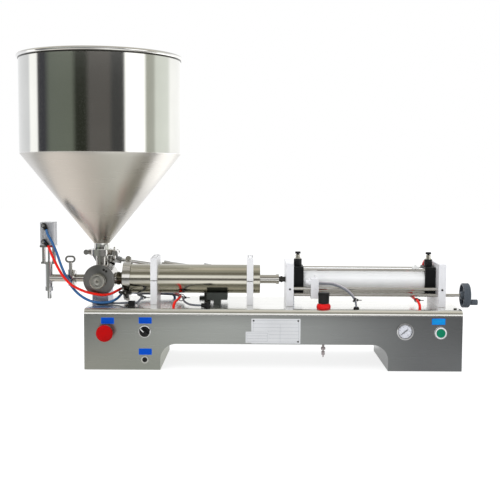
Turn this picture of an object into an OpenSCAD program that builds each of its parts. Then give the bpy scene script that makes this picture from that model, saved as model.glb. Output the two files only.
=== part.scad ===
// Bench-top pneumatic piston filler: hopper, rotary valve, material cylinder,
// air cylinder and anti-drip nozzle on a folded stainless chassis.
// Millimetres. +X runs along the machine towards the hand wheel, +Y to the back,
// +Z up. The origin is on the bench, under the middle of the whole machine.

/* [Chassis] */
// Length of the folded chassis
base_len = 900; // [860:10:1000]
// Depth of the chassis, front to back
base_depth = 250; // [240:5:300]
// Height of the deck above the bench
base_h = 146; // [140:1:170]
// Thickness of the chassis sheet
sheet = 2; // [1.5:0.5:2.5]
// Radius of the long folded edges of the deck
edge_r = 14; // [8:1:16]
// Length of the left leg
leg_left_len = 181; // [160:1:200]
// Length of the right leg
leg_right_len = 176; // [160:1:200]
// Height of the arch between the legs
arch_h = 63; // [50:1:66]
// Radius of the arch's upper corners
arch_r = 38; // [20:1:40]
// Distance from the origin to the chassis's left end
origin_inset = 384; // [370:1:400]

/* [Hopper] */
// Outer radius of the hopper's straight part
hopper_r = 197; // [170:1:205]
// Wall of the hopper
hopper_wall = 1.5; // [1:0.25:2.5]
// Height of the hopper's straight part, up to the middle of its rim
hopper_cyl_h = 232; // [180:1:260]
// Height of the hopper's cone
hopper_cone_h = 221; // [200:1:240]
// Radius of the rolled rim's round edge
rim_r = 4.5; // [3:0.5:6]
// Outer radius of the hopper's neck
neck_r = 20; // [17:0.5:20.5]
// Height of the neck above its flange
neck_h = 17; // [12:1:24]
// Outer radius of the pipe between the neck's flange and the valve
neck_pipe_r = 15; // [14:0.5:17]

/* [Valve] */
// Distance from the chassis's left end to the valve's axis
valve_inset = 23.5; // [22:0.5:30]
// Height of the machine's main axis above the deck
axis_h = 59; // [57:1:64]
// Radius of the valve body
valve_r = 36; // [34:1:38]
// Half of the valve body's length, front to back
valve_half = 45; // [42:1:48]
// Radius of the rotor
rotor_r = 24; // [20:1:25]
// Running clearance of shafts and pistons, on the radius
run_gap = 0.05; // [0.02:0.01:0.08]
// Radius of the flow passages
port_r = 10; // [8:0.5:10.5]
// Radius of the rotor's rear shaft
valve_shaft_r = 10; // [8:0.5:11]
// Radius of the turned hand knob on the rotor's front end
valve_knob_r = 18.5; // [16:0.5:20]
// Length of the turned hand knob
valve_knob_len = 27; // [20:1:30]
// Distance of the side ports' outer faces from the valve's axis
port_reach = 38; // [37:1:44]

/* [Valve drive] */
// Distance from the machine's centre plane to the small cylinder's axis
drive_y = 66; // [65:1:70]
// Distance from the valve's axis to the line of the small cylinder
drive_h = 45; // [44:1:48]
// Slope of the small cylinder, falling to the right
drive_tilt = 8; // [6:1:9]
// Angle of the lever from square to the small cylinder, at rest
lever_rest = 10; // [8:1:12]
// Largest angle of the lever to each side of square
lever_swing = 30; // [25:1:30]
// Radius of the pin in the lever's slot
drive_pin_r = 4; // [3:0.5:5]
// Distance from the pin to the small cylinder's nose, at rest
drive_reach = 129; // [120:1:140]
// Radius of the small cylinder
drive_r = 14; // [13:0.5:15]
// Length of the small cylinder's body
drive_len = 140; // [134:1:150]

/* [Material cylinder] */
// Outer radius of the material cylinder
tube_r = 36; // [35:0.5:37]
// Bore radius of the material cylinder
tube_bore_r = 31.5; // [30:0.5:32]
// Length of the material cylinder
tube_len = 330; // [320:5:340]
// Radius of the large pipe flanges
flange_r = 38.75; // [38:0.25:39.5]
// Length of the union between valve and cylinder
union_len = 18.5; // [14:0.5:24]
// Thickness of a bracket round the cylinder
bracket_t = 16; // [12:1:20]
// Half of the width of a bracket
bracket_half = 50; // [46:1:50]
// Distance from the cylinder's front end to the middle of the first bracket
bracket_1 = 68.5; // [60:0.5:80]
// Distance from the cylinder's front end to the middle of the second bracket
bracket_2 = 305; // [290:1:310]
// Length of the material piston
piston_len = 40; // [30:1:44]
// Radius of the coupling rod
coupling_r = 11; // [9:0.5:12]

/* [Air cylinder] */
// Open distance between the material cylinder and the left end plate
plate_gap = 63; // [60:1:80]
// Thickness of an end plate
plate_t = 18; // [14:1:20]
// Half of the width of an end plate
plate_half = 70; // [68:1:76]
// Height of the end plates above the deck
plate_h = 105; // [102:1:112]
// Side of the square caps
cap_side = 70; // [68:1:74]
// Thickness of a cap
cap_t = 26; // [24:1:30]
// Outer radius of the barrel
barrel_r = 30; // [29.5:0.5:31]
// Bore radius of the barrel
barrel_bore_r = 27.5; // [26:0.5:28]
// Radius of the air cylinder's rod
rod_r = 8; // [6:0.5:9]
// Thickness of the air piston
air_piston_t = 25; // [20:1:28]
// Distance from the right end plate to the chassis's right end
end_margin = 30; // [24:1:60]

/* [Volume setting] */
// Distance from the centre plane to the guide rod and the lead screw
rail_y = 55; // [53:1:58]
// Height of the guide rod above the deck
guide_h = 42.5; // [41:0.5:46]
// Height of the lead screw above the deck
screw_h = 28; // [25:0.5:29]
// Radius of the guide rod
guide_r = 4; // [3:0.5:4.5]
// Outer radius of the lead screw
screw_r = 4.5; // [4:0.5:5]
// Radius of the lead screw's journals
journal_r = 4; // [3:0.5:4]
// Length of the sensor block along the screw
block_len = 19; // [16:1:24]
// Distance from the left end plate to the sensor block, at rest
block_start = 42; // [38:1:60]
// Distance from the chassis's right end to the hand wheel
wheel_gap = 12; // [8:1:20]
// Radius of the hand wheel
wheel_r = 30; // [26:1:34]
// Width of the hand wheel's rim
wheel_t = 17; // [14:1:22]
// Radius of the crank knob
crank_r = 7; // [5:0.5:8]

/* [Nozzle] */
// Distance from the valve's axis to the nozzle's axis
nozzle_reach = 132.5; // [125:0.5:145]
// Radius of the outlet pipe
outlet_r = 9.5; // [8:0.5:10]
// Distance from the valve's axis to the outlet pipe's joint
joint_reach = 73.5; // [70:0.5:80]
// Width of the nozzle cylinder
nozzle_w = 36; // [34:1:46]
// Depth of the nozzle cylinder, front to back
nozzle_depth = 42; // [38:1:46]
// Height of the nozzle cylinder
nozzle_cyl_h = 57; // [52:1:64]
// Lift of the shut-off rod
nozzle_lift = 10; // [6:1:12]

/* [Controls] */
// Radius of the panel holes for switches
switch_hole_r = 11.2; // [11:0.1:12]
// Radius of the switch bezels
bezel_r = 14.75; // [14:0.25:16]
// Radius of the emergency stop's head
stop_r = 20; // [18:0.5:22]
// Travel of the emergency stop
stop_travel = 5; // [3:0.5:5]
// Travel of the start button
start_travel = 3; // [2:0.5:4]
// Radius of the gauge's bezel
gauge_r = 20; // [19:0.5:24]
// Radius of the regulator knob at its foot
knob_r = 13.5; // [12:0.5:14]
// Radius of the red ring under the regulator knob
ring_r = 17.2; // [16:0.1:19]

/* [Hoses] */
// Radius of the air hoses
hose_r = 3.2; // [2.4:0.1:3.3]
// Radius of the sensor and switch cables
cable_r = 2.5; // [2:0.25:2.5]

/* [Hidden] */

// Facets of large, middle and small round shapes
fn_large = 128;
fn_mid = 64;
fn_small = 32;
// Clearance between parts that pass each other without touching
free_gap = 0.3;
// A cut runs this far past the face that it opens
past = 1;

// Faces and lines of the chassis
base_x0 = -origin_inset;
base_x1 = base_x0 + base_len;
front_y = -base_depth / 2;
back_y = base_depth / 2;
deck_z = base_h;
axis_z = deck_z + axis_h;

// Stations along the main axis, from left to right
valve_x = base_x0 + valve_inset;
nozzle_x = valve_x - nozzle_reach;
joint_x = valve_x - joint_reach;
union_x = valve_x + port_reach;
flange_t = 7;
gasket_t = 2;
cover_x = union_x + union_len;
clamp_x = cover_x + flange_t + gasket_t / 2;
tube_x0 = cover_x + flange_t + gasket_t;
tube_x1 = tube_x0 + tube_len;
plate_x0 = tube_x1 + plate_gap;
cap_x0 = plate_x0 + plate_t;
barrel_x0 = cap_x0 + cap_t;
barrel_x1 = base_x1 - end_margin - plate_t - cap_t;
cap_x1 = barrel_x1;
plate_x1 = cap_x1 + cap_t;
plate_x2 = plate_x1 + plate_t;
wheel_x = base_x1 + wheel_gap;
port_left_x = cap_x0 + cap_t / 2;
port_right_x = cap_x1 + cap_t / 2;

// Heights and places that several pieces share
guide_z = deck_z + guide_h;
screw_z = deck_z + screw_h;
block_x = plate_x0 + plate_t + block_start;
block_front_y = -rail_y - 15;
block_back_y = -rail_y + 15;
block_z0 = deck_z + 20;
block_z1 = deck_z + 69;
sensor_z = deck_z + 58;
sensor_r = 6;

// Pistons at rest, at the rear end of their travel
piston_back_gap = 23;
piston_x1 = tube_x1 - piston_back_gap;
piston_x0 = piston_x1 - piston_len;
air_piston_x1 = barrel_x1 - 4;
air_piston_x0 = air_piston_x1 - air_piston_t;
coupling_x1 = piston_x1 + 64;
lock_nut_x1 = coupling_x1 + 6;

// Pipe joint over the valve
neck_flange_r = 25.25;
neck_joint_h = 5;
neck_joint_z = axis_z + 66;
neck_bore_r = neck_r - hopper_wall;
cone_z = neck_joint_z + gasket_t / 2 + neck_joint_h + neck_h;
hopper_joint_z = cone_z + hopper_cone_h;
rim_z = hopper_joint_z + hopper_cyl_h;

// Pipe joint at the left of the valve
outlet_flange_r = 17;
outlet_bore_r = outlet_r - 2;
outlet_joint_t = 5;

// Pipe clamps: ring radius, groove radius, lip radius, width, thickness of a flange
neck_clamp = [31, neck_flange_r + free_gap, neck_r + 2, 15, neck_joint_h];
outlet_clamp = [21, outlet_flange_r + free_gap, outlet_r + 2, 15, outlet_joint_t];
tube_clamp = [42, flange_r + free_gap, tube_r + 1.6, 19, flange_t];
clamp_bolt_r = 3;
clamp_bolt_out = 6;
nut_hub_r = 7;
nut_len = 21;

// Nozzle heights, from the main axis
tip_r = 5.5;
tip_z0 = axis_z - 52;
tip_z1 = tip_z0 + 18.5;
collar_z1 = tip_z1 + 12;
nozzle_top_z = axis_z + 35;
yoke_z0 = nozzle_top_z;
yoke_z1 = nozzle_top_z + 48;
nozzle_cyl_z1 = yoke_z1 + nozzle_cyl_h;
seat_r = 4;
outlet_hole_r = 4.2;
seat_z0 = collar_z1 - 1;
seat_z1 = seat_z0 + 6;
nozzle_r = 9.5;
chamber_r = 6.5;
nozzle_rod_r = 3;
elbow_low = 10;
elbow_high = 50;
nozzle_bore_r = 14;

// Valve drive
drive_foot = drive_h * tan(lever_rest);
drive_dir = [cos(drive_tilt), 0, -sin(drive_tilt)];
drive_up = [sin(drive_tilt), 0, cos(drive_tilt)];
lever_angle = drive_tilt + lever_rest;
lever_t = 8;
lever_y0 = drive_y - lever_t / 2;
lever_y1 = drive_y + lever_t / 2;
slot_gap = 1.4;
slot_in = drive_h - drive_pin_r - slot_gap;
slot_out = drive_h / cos(lever_swing) + drive_pin_r + slot_gap;
fork_gap = 0.5;
fork_t = 5;
fork_half = 8;
fork_reach = 21;
drive_rod_r = 4.5;
drive_bore_r = 11.5;

// Panel fittings, from the chassis's ends and the bench
stop_x = base_x0 + 51.7;
selector_x = base_x0 + 144.4;
start_x = base_x1 - 52.6;
gauge_x = base_x1 - 137.1;
panel_z = base_h - 53;
stop_z = base_h - 55;
gauge_z = base_h - 50;
socket_z = 25;
bezel_t = 4;
switch_r = 11;
switch_bore_r = 8;
switch_depth = 50;
stop_collar_r = 15;
stop_collar_t = 10;
gauge_bezel_t = 6;
gauge_body_r = gauge_r - 2.2;
gauge_dial_r = gauge_r - 2.8;
gauge_face_y = front_y - 1;
socket_r = 9;
socket_bore_r = 6;
socket_len = 12;
socket_depth = 20;

// Regulator, on the deck in front of the air cylinder
reg_x = plate_x0 + 89;
reg_y = front_y + 27;
reg_hole_r = 13;
reg_thread_r = 12;
ring_z1 = deck_z + 12;
knob_z1 = ring_z1 + 27;
spindle_r = 5;
drain_r = 5.5;
drain_hole_r = 8;

// Rear cover and air inlet
cover_z0 = arch_h + 5;
cover_z1 = base_h - edge_r;
cover_inset = 20;
window_margin = 12;
inlet_x = plate_x0 + 258;
inlet_len = 17;
inlet_z = (cover_z0 + cover_z1) / 2;
inlet_r = 8;
inlet_bore_r = 4.05;

// Holes in the deck for hoses and cables: distance from the left end
gland_r = 7;
gland_y = front_y + 22;
hose_hole_r = 5;
clip_x = base_x0 + 106;
clip_y = -67.5;
connector_x = base_x0 + 292;
plug_len = 15;
gland_3_x = base_x0 + 649;
hose_1_x = base_x0 + 211;
hose_2_x = port_right_x - 38;
hose_3 = [base_x0 + 199, 74];
hose_4 = [port_left_x - 8, 74];

// Routes are drawn for this corner of the deck, and go where it goes
route_corner = [-384, 0, 146];
function lifted(q) = q - route_corner + [base_x0, 0, deck_z];
function on_deck(p) = [for (q = p) lifted(q)];
// Routes of the air cylinder's hoses are drawn from the deck under their ports
function at_port(x, p) = [for (q = p) q + [x, 0, deck_z]];
red_route = on_deck([
    [-487, -34, 288], [-483, -37, 280], [-473, -43, 259], [-460, -49, 235], [-446, -56, 215],
    [-428, -61, 197], [-412, -64, 188], [-395, -67, 181], [-378, -68, 176], [-362, -67, 173],
    [-347, -64, 171], [-331, -57, 173], [-319, -44, 178], [-313, -22, 180], [-312, 8, 179],
    [-312, 36, 177], [-300, 56, 174], [-278, 62, 169], [-250, 60, 166], [-214, 60, 166], [-188, 48, 165],
    [-172, 22, 163], [-164, -4, 162], [-163, -28, 162], [-167, -60, 160], [-172, -92, 156],
    [-173, -103, 150], [-173, -103, 143]
]);
blue_route = on_deck([
    [-491, -34, 328], [-488, -36, 318], [-479, -37, 302], [-470, -38, 283], [-462, -40, 263],
    [-454, -43, 241], [-444, -46, 219], [-432, -50, 197], [-418, -54, 180], [-402, -58, 167],
    [-385, -61, 158], [-367, -63, 153], [-347, -62, 152], [-330, -57, 154], [-318, -42, 159],
    [-312, -14, 165], [-310, 16, 167], [-301, 44, 164], [-276, 62, 160], [-240, 67, 158],
    [-208, 71, 157], [-190, 74, 155], [-185, 74, 149], [-185, 74, 143]
]);
red_port_route = at_port(port_right_x, [
    [-38, -103, -3], [-38, -102, 9], [-41, -85, 19], [-43, -66, 19.6], [-43, -48, 19.6], [-43, -28, 19.8],
    [-42, -4, 20], [-37, 20, 20.8], [-30, 37, 23.5], [-22, 50, 35], [-14, 58, 53], [-6, 62, 74],
    [-1, 60, 92], [0, 50, 101], [0, 36, 103], [0, 20, 103]
]);
blue_port_route = at_port(port_left_x, [
    [0, 20, 103], [0, 36, 103], [-1, 50, 100], [-3, 61, 90], [-6, 69, 70], [-7.5, 73, 44],
    [-8, 74, 19], [-8, 74, -3]
]);
cable_route = on_deck([
    [-367, -42.3, 149], [-366, -46, 149], [-361, -49.5, 149], [-342, -50, 149], [-325, -49, 149],
    [-310, -56, 150], [-298, -65, 152], [-290, -67.5, 153], [-278, -67.5, 153],
    [-266, -67.3, 153], [-259, -57, 159],
    [-254, -45, 163], [-256, -24, 163], [-270, 2, 163], [-272, 32, 161], [-252, 55, 159],
    [-214, 57, 158], [-184, 46, 158], [-163, 20, 157], [-156, -4, 158], [-156, -26, 159],
    [-150, -56, 155], [-136, -82, 152], [-122, -95, 152], [-107.8, -99, 152]
]);
// The strands end this far from the sensor block, which slides
strand_clear = 1;
// The sensor's route spans from its block to the gland; X is drawn as a share of that way
sensor_exit_x = block_x + block_len + strand_clear;
sensor_span = gland_3_x - sensor_exit_x;
sensor_route = [
    for (q = [
        [0, -64, 57], [0.16, -67, 57], [0.39, -73, 56], [0.71, -81, 45], [0.9, -86, 31],
        [0.99, -92, 17], [1, -103, 1]
    ])
        [sensor_exit_x + q[0] * sensor_span, q[1], q[2] + deck_z]
];
// The sensor's two strands lie this far to each side of their route
strand_r = 1.8;
strand_side = [0.6, 1.6, 1.6];
tie_1 = lifted([-254, -45, 163]);
tie_2 = lifted([-160, -27, 161]);
tie_3 = lifted([262, -90, 166]);
tie_4 = [port_right_x - 41.7, -80, deck_z + 19];

// Cylinder along X, Y or Z between two stations
module rod_x(r, x0, x1, y = 0, z = 0, fn = fn_mid)
    translate([x0, y, z]) rotate([0, 90, 0]) cylinder(r = r, h = x1 - x0, $fn = fn);
module rod_y(r, y0, y1, x = 0, z = 0, fn = fn_mid)
    translate([x, y0, z]) rotate([-90, 0, 0]) cylinder(r = r, h = y1 - y0, $fn = fn);
module rod_z(r, z0, z1, x = 0, y = 0, fn = fn_mid)
    translate([x, y, z0]) cylinder(r = r, h = z1 - z0, $fn = fn);

// Box between two corners
module box(a, b) translate(a) cube(b - a);

// Flat rectangle with round corners
module round_rect(w, h, r) {
    square([w - 2 * r, h], center = true);
    square([w, h - 2 * r], center = true);
    for (x = [-1, 1], y = [-1, 1])
        translate([x * (w / 2 - r), y * (h / 2 - r)]) circle(r = r, $fn = fn_small);
}

// Plate that stands against the front panel, its back on the plane y
module front_plate(x, z, w, h, t, y, r)
    translate([x, y, z]) rotate([90, 0, 0]) linear_extrude(t) round_rect(w, h, r);

// Points of one ring of a tube, square to its route
function unit(v) = v / norm(v);
function route_dir(p, i) =
    unit(p[min(i + 1, len(p) - 1)] - p[max(i - 1, 0)]);
function ring_side(d) = unit(cross(d, abs(d[2]) > 0.9 ? [0, 1, 0] : [0, 0, 1]));
function tube_ring(c, d, side, r, n) =
    let (up = cross(side, d))
    [for (k = [0:n - 1]) c + r * (cos(360 * k / n) * side + sin(360 * k / n) * up)];
// The side direction is carried along, so that the tube doesn't twist
function carried(prev, d) = unit(prev - (prev * d) * d);
function ring_sides(p, i = 0, prev = undef) =
    i == len(p) ? [] :
    let (d = route_dir(p, i), s = prev == undef ? ring_side(d) : carried(prev, d))
    concat([s], ring_sides(p, i + 1, s));

// Tube of round section swept along a route
module route_tube(p, r, n = 8) {
    sides = ring_sides(p);
    last = len(p) - 1;
    points = [for (i = [0:last]) each tube_ring(p[i], route_dir(p, i), sides[i], r, n)];
    walls = [
        for (i = [0:last - 1], k = [0:n - 1])
            let (a = i * n + k, b = i * n + (k + 1) % n)
            each [[a, b, b + n], [a, b + n, a + n]]
    ];
    start_cap = [for (k = [1:n - 2]) [0, k + 1, k]];
    end_cap = [for (k = [1:n - 2]) [last * n, last * n + k, last * n + k + 1]];
    polyhedron(points, concat(walls, start_cap, end_cap));
}

// Outline of the chassis from the front, drawn in by the sheet's thickness
module chassis_outline(inset) {
    arch_w = base_len - leg_left_len - leg_right_len + 2 * inset;
    r = arch_r + inset;
    difference() {
        translate([base_x0 + inset, inset]) square([base_len - 2 * inset, base_h - 2 * inset]);
        translate([base_x0 + leg_left_len - inset, 0]) {
            translate([0, -past]) square([arch_w, arch_h + inset - r + past]);
            translate([r, -past]) square([arch_w - 2 * r, arch_h + inset + past]);
            for (x = [r, arch_w - r])
                translate([x, arch_h + inset - r]) circle(r = r, $fn = fn_mid);
        }
    }
}

// Section of the chassis from the end, with its two folded edges
module chassis_section(inset) {
    r = edge_r - inset;
    y = base_depth / 2 - inset;
    translate([-y, 0]) square([2 * y, base_h - edge_r]);
    translate([-y + r, 0]) square([2 * y - 2 * r, base_h - inset]);
    for (side = [-1, 1])
        translate([side * (y - r), base_h - edge_r]) circle(r = r, $fn = fn_mid);
}

module chassis_form(inset)
    intersection() {
        translate([0, back_y + past, 0]) rotate([90, 0, 0])
            linear_extrude(base_depth + 2 * past) chassis_outline(inset);
        translate([base_x0 - past, 0, 0]) rotate([90, 0, 90])
            linear_extrude(base_len + 2 * past) chassis_section(inset);
    }

module chassis() color([0.66, 0.65, 0.63])
    difference() {
        chassis_form(0);
        chassis_form(sheet);
        for (p = [[stop_x, stop_z], [selector_x, panel_z], [start_x, panel_z]])
            rod_y(switch_hole_r, front_y - past, front_y + sheet + past, p[0], p[1]);
        rod_y(socket_r - 2, front_y - past, front_y + sheet + past, selector_x, socket_z);
        rod_y(gauge_body_r + free_gap, front_y - past, front_y + sheet + past, gauge_x, gauge_z);
        rod_z(reg_hole_r, deck_z - sheet - past, deck_z + past, reg_x, reg_y);
        rod_z(drain_hole_r, arch_h - past, arch_h + sheet + past, reg_x, reg_y);
        for (x = [gland_3_x, connector_x])
            rod_z(hose_hole_r, deck_z - sheet - past, deck_z + past, x, gland_y);
        for (p = [[hose_1_x, gland_y], [hose_2_x, gland_y], hose_3, hose_4])
            rod_z(hose_r + 0.8, deck_z - sheet - past, deck_z + past, p[0], p[1]);
        box([base_x0 + cover_inset + window_margin, back_y - sheet - past, cover_z0 + window_margin],
            [base_x1 - cover_inset - window_margin, back_y + past, cover_z1 - window_margin]);
    }

module rear_cover() {
    w = base_len - 2 * cover_inset;
    h = cover_z1 - cover_z0;
    slots = 7;
    slot_pitch = 12;
    color([0.64, 0.63, 0.61])
        difference() {
            translate([base_x0 + base_len / 2, back_y, (cover_z0 + cover_z1) / 2]) rotate([-90, 0, 0])
                linear_extrude(sheet) round_rect(w, h, 6);
            rod_y(inlet_r, back_y - past, back_y + sheet + past, inlet_x, inlet_z);
            for (i = [0:slots - 1])
                box([base_x0 + 120 + i * slot_pitch, back_y - past, inlet_z - 14],
                    [base_x0 + 124 + i * slot_pitch, back_y + sheet + past, inlet_z + 14]);
        }
}

// Round screw head with a hexagon socket, its seat on the plane z = 0
module screw_head(r, h)
    difference() {
        cylinder(r = r, h = h, $fn = fn_small);
        translate([0, 0, h * 0.4]) cylinder(r = r * 0.5, h = h, $fn = 6);
    }

module cap_screws() {
    cover_y = back_y + sheet;
    cover_edge = 5;
    color([0.35, 0.35, 0.36]) {
        for (i = [0:3], z = [cover_z0 + cover_edge, cover_z1 - cover_edge])
            translate([base_x0 + 40 + i * (base_len - 80) / 3, cover_y, z]) rotate([-90, 0, 0])
                screw_head(3.5, 2.5);
        for (y = [gland_y, -gland_y])
            translate([base_x1 - 14, y, deck_z]) screw_head(4, 3);
        for (x = [bracket_1, bracket_2], y = [-1, 1])
            translate([tube_x0 + x, y * (bracket_half - 7), axis_z + bracket_top - 5])
                screw_head(4.5, 4.5);
        for (x = [plate_x0 + plate_t / 2, plate_x1 + plate_t / 2])
            translate([x, -plate_half, guide_z]) rotate([90, 0, 0]) screw_head(2.5, 1);
    }
}

// Switch body through the front panel: bezel, thread and square contact block
module switch_body(x, z, r, t, bore)
    difference() {
        union() {
            rod_y(r, front_y - t, front_y, x, z);
            rod_y(switch_r, front_y - past, front_y + switch_depth, x, z);
            box([x - 14, front_y + 14, z - 14], [x + 14, front_y + switch_depth, z + 14]);
        }
        rod_y(bore, front_y - t - past, front_y + switch_depth - 8, x, z);
    }

module switch_housings() {
    color([0.12, 0.12, 0.13]) switch_body(stop_x, stop_z, stop_collar_r, stop_collar_t, switch_bore_r);
    color([0.75, 0.75, 0.76]) {
        switch_body(selector_x, panel_z, bezel_r, bezel_t, switch_bore_r);
        difference() {
            switch_body(start_x, panel_z, bezel_r, start_bezel_t, switch_bore_r);
            rod_y(start_r + free_gap, front_y - start_bezel_t - past, front_y - 0.4, start_x, panel_z);
        }
        difference() {
            union() {
                rod_y(socket_r, front_y - 3, front_y, selector_x, socket_z);
                rod_y(socket_r - 2, front_y - past, front_y + socket_depth, selector_x, socket_z);
            }
            rod_y(socket_bore_r, front_y - 3 - past, front_y - 3 + socket_len, selector_x, socket_z);
        }
    }
}
start_r = 10;
start_bezel_t = 6;

module gauge_case() color([0.78, 0.78, 0.8])
    difference() {
        union() {
            rod_y(gauge_r, front_y - gauge_bezel_t, front_y, gauge_x, gauge_z);
            rod_y(gauge_body_r, front_y - past, front_y + 24, gauge_x, gauge_z);
            rod_y(6, front_y + 23, front_y + 40, gauge_x, gauge_z);
        }
        rod_y(gauge_dial_r, front_y - gauge_bezel_t - past, gauge_face_y, gauge_x, gauge_z);
        rod_y(needle_pivot_r + run_gap, gauge_face_y - past, gauge_face_y + 6, gauge_x, gauge_z);
    }
needle_pivot_r = 1.5;

module gauge_glass() color([0.85, 0.92, 0.95, 0.4])
    rod_y(gauge_dial_r, front_y - gauge_bezel_t + 0.5, front_y - gauge_bezel_t + 2, gauge_x, gauge_z);

// The needle points at zero, at the lower left
module gauge_needle() color([0.08, 0.08, 0.08]) {
    needle_y = gauge_face_y - 1.6;
    zero_angle = 219;
    rod_y(needle_pivot_r, needle_y - 0.8, gauge_face_y + 5, gauge_x, gauge_z, fn_small);
    translate([gauge_x, needle_y, gauge_z]) rotate([90, -zero_angle, 0])
        linear_extrude(0.8)
            polygon([[-8, -1.1], [0, -1.3], [13.5, -0.35], [13.5, 0.35], [0, 1.3], [-8, 1.1]]);
}

label_w = 31;
label_h = 15;
label_drop = 27;
name_w = 117;
name_h = 60;
name_inset = 456;
name_drop = 51;
name_x = base_x0 + name_inset;
name_z = base_h - name_drop;
socket_label_rise = 19;
// The second plate lies this far to the left of the nameplate and under it
second_shift = [-44.5, -14.5];
module label_plates() {
    plate = 0.8;
    color([0.1, 0.45, 0.85]) {
        front_plate(stop_x + 4.3, base_h - label_drop - 1, label_w, label_h, plate, front_y, 1);
        front_plate(selector_x + 1, base_h - label_drop, label_w, label_h, plate, front_y, 1);
        front_plate(selector_x + 1, socket_z + socket_label_rise, label_w, label_h, plate, front_y, 1);
        front_plate(start_x - 5, base_h - label_drop + 1, label_w + 1, label_h, plate, front_y, 1);
    }
    color([0.93, 0.93, 0.92]) {
        front_plate(name_x, name_z, name_w, name_h, plate, front_y, 1.5);
        front_plate(name_x + second_shift[0], name_z + second_shift[1], name_w * 0.47, name_h * 0.45,
            plate, front_y - plate, 1.5);
    }
    color([0.3, 0.3, 0.3])
        for (p = [[-1, 1], [1, 1], [1, -1]])
            translate([name_x, front_y - plate, name_z])
                translate([p[0] * (name_w / 2 - 5.5), 0, p[1] * (name_h / 2 - 5)])
                    rotate([90, 0, 0]) cylinder(r1 = 2.2, r2 = 1.4, h = 1.2, $fn = fn_small);
}

module valve_body() color([0.62, 0.62, 0.62])
    difference() {
        union() {
            rod_y(valve_r, -valve_half, valve_half, valve_x, axis_z, fn_large);
            rod_z(neck_pipe_r, axis_z, neck_joint_z - gasket_t / 2 - 1, valve_x, 0);
            translate([valve_x, 0, neck_joint_z - gasket_t / 2]) mirror([0, 0, 1])
                flange(neck_flange_r, neck_pipe_r, neck_joint_h);
            rod_x(valve_port_r, valve_x, union_x, 0, axis_z);
            rod_x(outlet_r, joint_x + gasket_t / 2 + 1, valve_x, 0, axis_z);
            translate([joint_x + gasket_t / 2, 0, axis_z]) rotate([0, 90, 0])
                flange(outlet_flange_r, outlet_r, outlet_joint_t);
        }
        rod_y(rotor_r + run_gap, -valve_half - past, valve_half - 7, valve_x, axis_z, fn_large);
        rod_y(valve_shaft_r + run_gap, 0, valve_half + past, valve_x, axis_z);
        rod_z(neck_pipe_r - 2, axis_z, neck_joint_z + past, valve_x, 0);
        rod_x(port_r, valve_x, union_x + past, 0, axis_z);
        rod_x(outlet_bore_r, joint_x - past, valve_x, 0, axis_z);
    }
valve_port_r = 15;

// Pipe flange with a sloping back, its sealing face on z = 0, growing upwards
module flange(r, pipe_r, t)
    rotate_extrude($fn = fn_large)
        polygon([[0, 0], [r, 0], [r, t * 0.4], [pipe_r + 1, t], [0, t]]);

module valve_cover() color([0.6, 0.6, 0.6])
    difference() {
        rod_y(valve_r + 2.5, -valve_half - cover_t, -valve_half, valve_x, axis_z, fn_large);
        rod_y(cover_hole_r, -valve_half - cover_t - past, -valve_half + past, valve_x, axis_z);
        for (a = [25, 39])
            rod_y(2, -valve_half - cover_t - past, -valve_half - cover_t + 3,
                valve_x + 29 * sin(a), axis_z + 29 * cos(a), fn_small);
    }
cover_t = 5;
cover_hole_r = 12;

module valve_rotor() color([0.7, 0.7, 0.7])
    difference() {
        union() {
            rod_y(rotor_r, -valve_half + free_gap, valve_half - 7 - free_gap, valve_x, axis_z, fn_large);
            rod_y(cover_hole_r - run_gap, -valve_half - cover_t - 3, -valve_half + 1, valve_x, axis_z);
            rod_y(6, -valve_half - cover_t - 20, -valve_half - cover_t - 2, valve_x, axis_z);
            rod_y(valve_shaft_r, valve_half - 8, lever_y1 + 6, valve_x, axis_z);
        }
        // Cut away all but the wedge that shuts one of the three ports
        translate([valve_x, port_r + 3, axis_z]) rotate([90, 0, 0])
            linear_extrude(2 * port_r + 6)
                difference() {
                    circle(r = rotor_r + past, $fn = fn_mid);
                    rotate(land_angle) polygon([
                        [-6, 0], [rotor_r + 16, -(rotor_r + 22) * tan(land_half)],
                        [rotor_r + 16, (rotor_r + 22) * tan(land_half)]
                    ]);
                }
    }
// Middle of the shutting wedge at rest, and half of its angle
land_angle = 150 - lever_swing - lever_rest;
land_half = 56;

module valve_knob() color([0.72, 0.72, 0.7])
    translate([valve_x, -valve_half - cover_t - 3, axis_z]) rotate([90, 0, 0])
        rotate_extrude($fn = fn_large)
            polygon([
                [6, 0], [valve_knob_r - 3, 0], [valve_knob_r - 3, 5], [valve_knob_r, 7],
                [valve_knob_r, valve_knob_len - 2], [valve_knob_r - 2, valve_knob_len],
                [3.2, valve_knob_len - 1], [3.2, 18], [6, 18]
            ]);

// Arm with a slot for the drive pin, and a slim dark stop arm to the left
module valve_lever() {
    tip = slot_out + 8;
    color([0.74, 0.74, 0.75])
        translate([valve_x, lever_y1, axis_z]) rotate([90, lever_angle, 0])
            linear_extrude(lever_t)
                difference() {
                    union() {
                        circle(r = 18, $fn = fn_mid);
                        translate([-13, 0]) square([26, tip - 5]);
                        translate([-8, 0]) square([16, tip]);
                        for (x = [-8, 8])
                            translate([x, tip - 5]) circle(r = 5, $fn = fn_small);
                        rotate(stop_arm_angle) translate([-4.5, 0]) square([9, 64]);
                    }
                    circle(r = valve_shaft_r, $fn = fn_mid);
                    translate([-slot_half, slot_in + slot_half])
                        square([2 * slot_half, slot_out - slot_in - 2 * slot_half]);
                    for (y = [slot_in + slot_half, slot_out - slot_half])
                        translate([0, y]) circle(r = slot_half, $fn = fn_small);
                }
}
slot_half = drive_pin_r + slot_gap;
stop_arm_angle = 48;

// Places a piece on the small cylinder's line, pin at the origin, body along +X
module on_drive_line()
    translate([valve_x, drive_y, axis_z] + drive_h * drive_up + drive_foot * drive_dir)
        rotate([0, drive_tilt, 0]) children();

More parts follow.
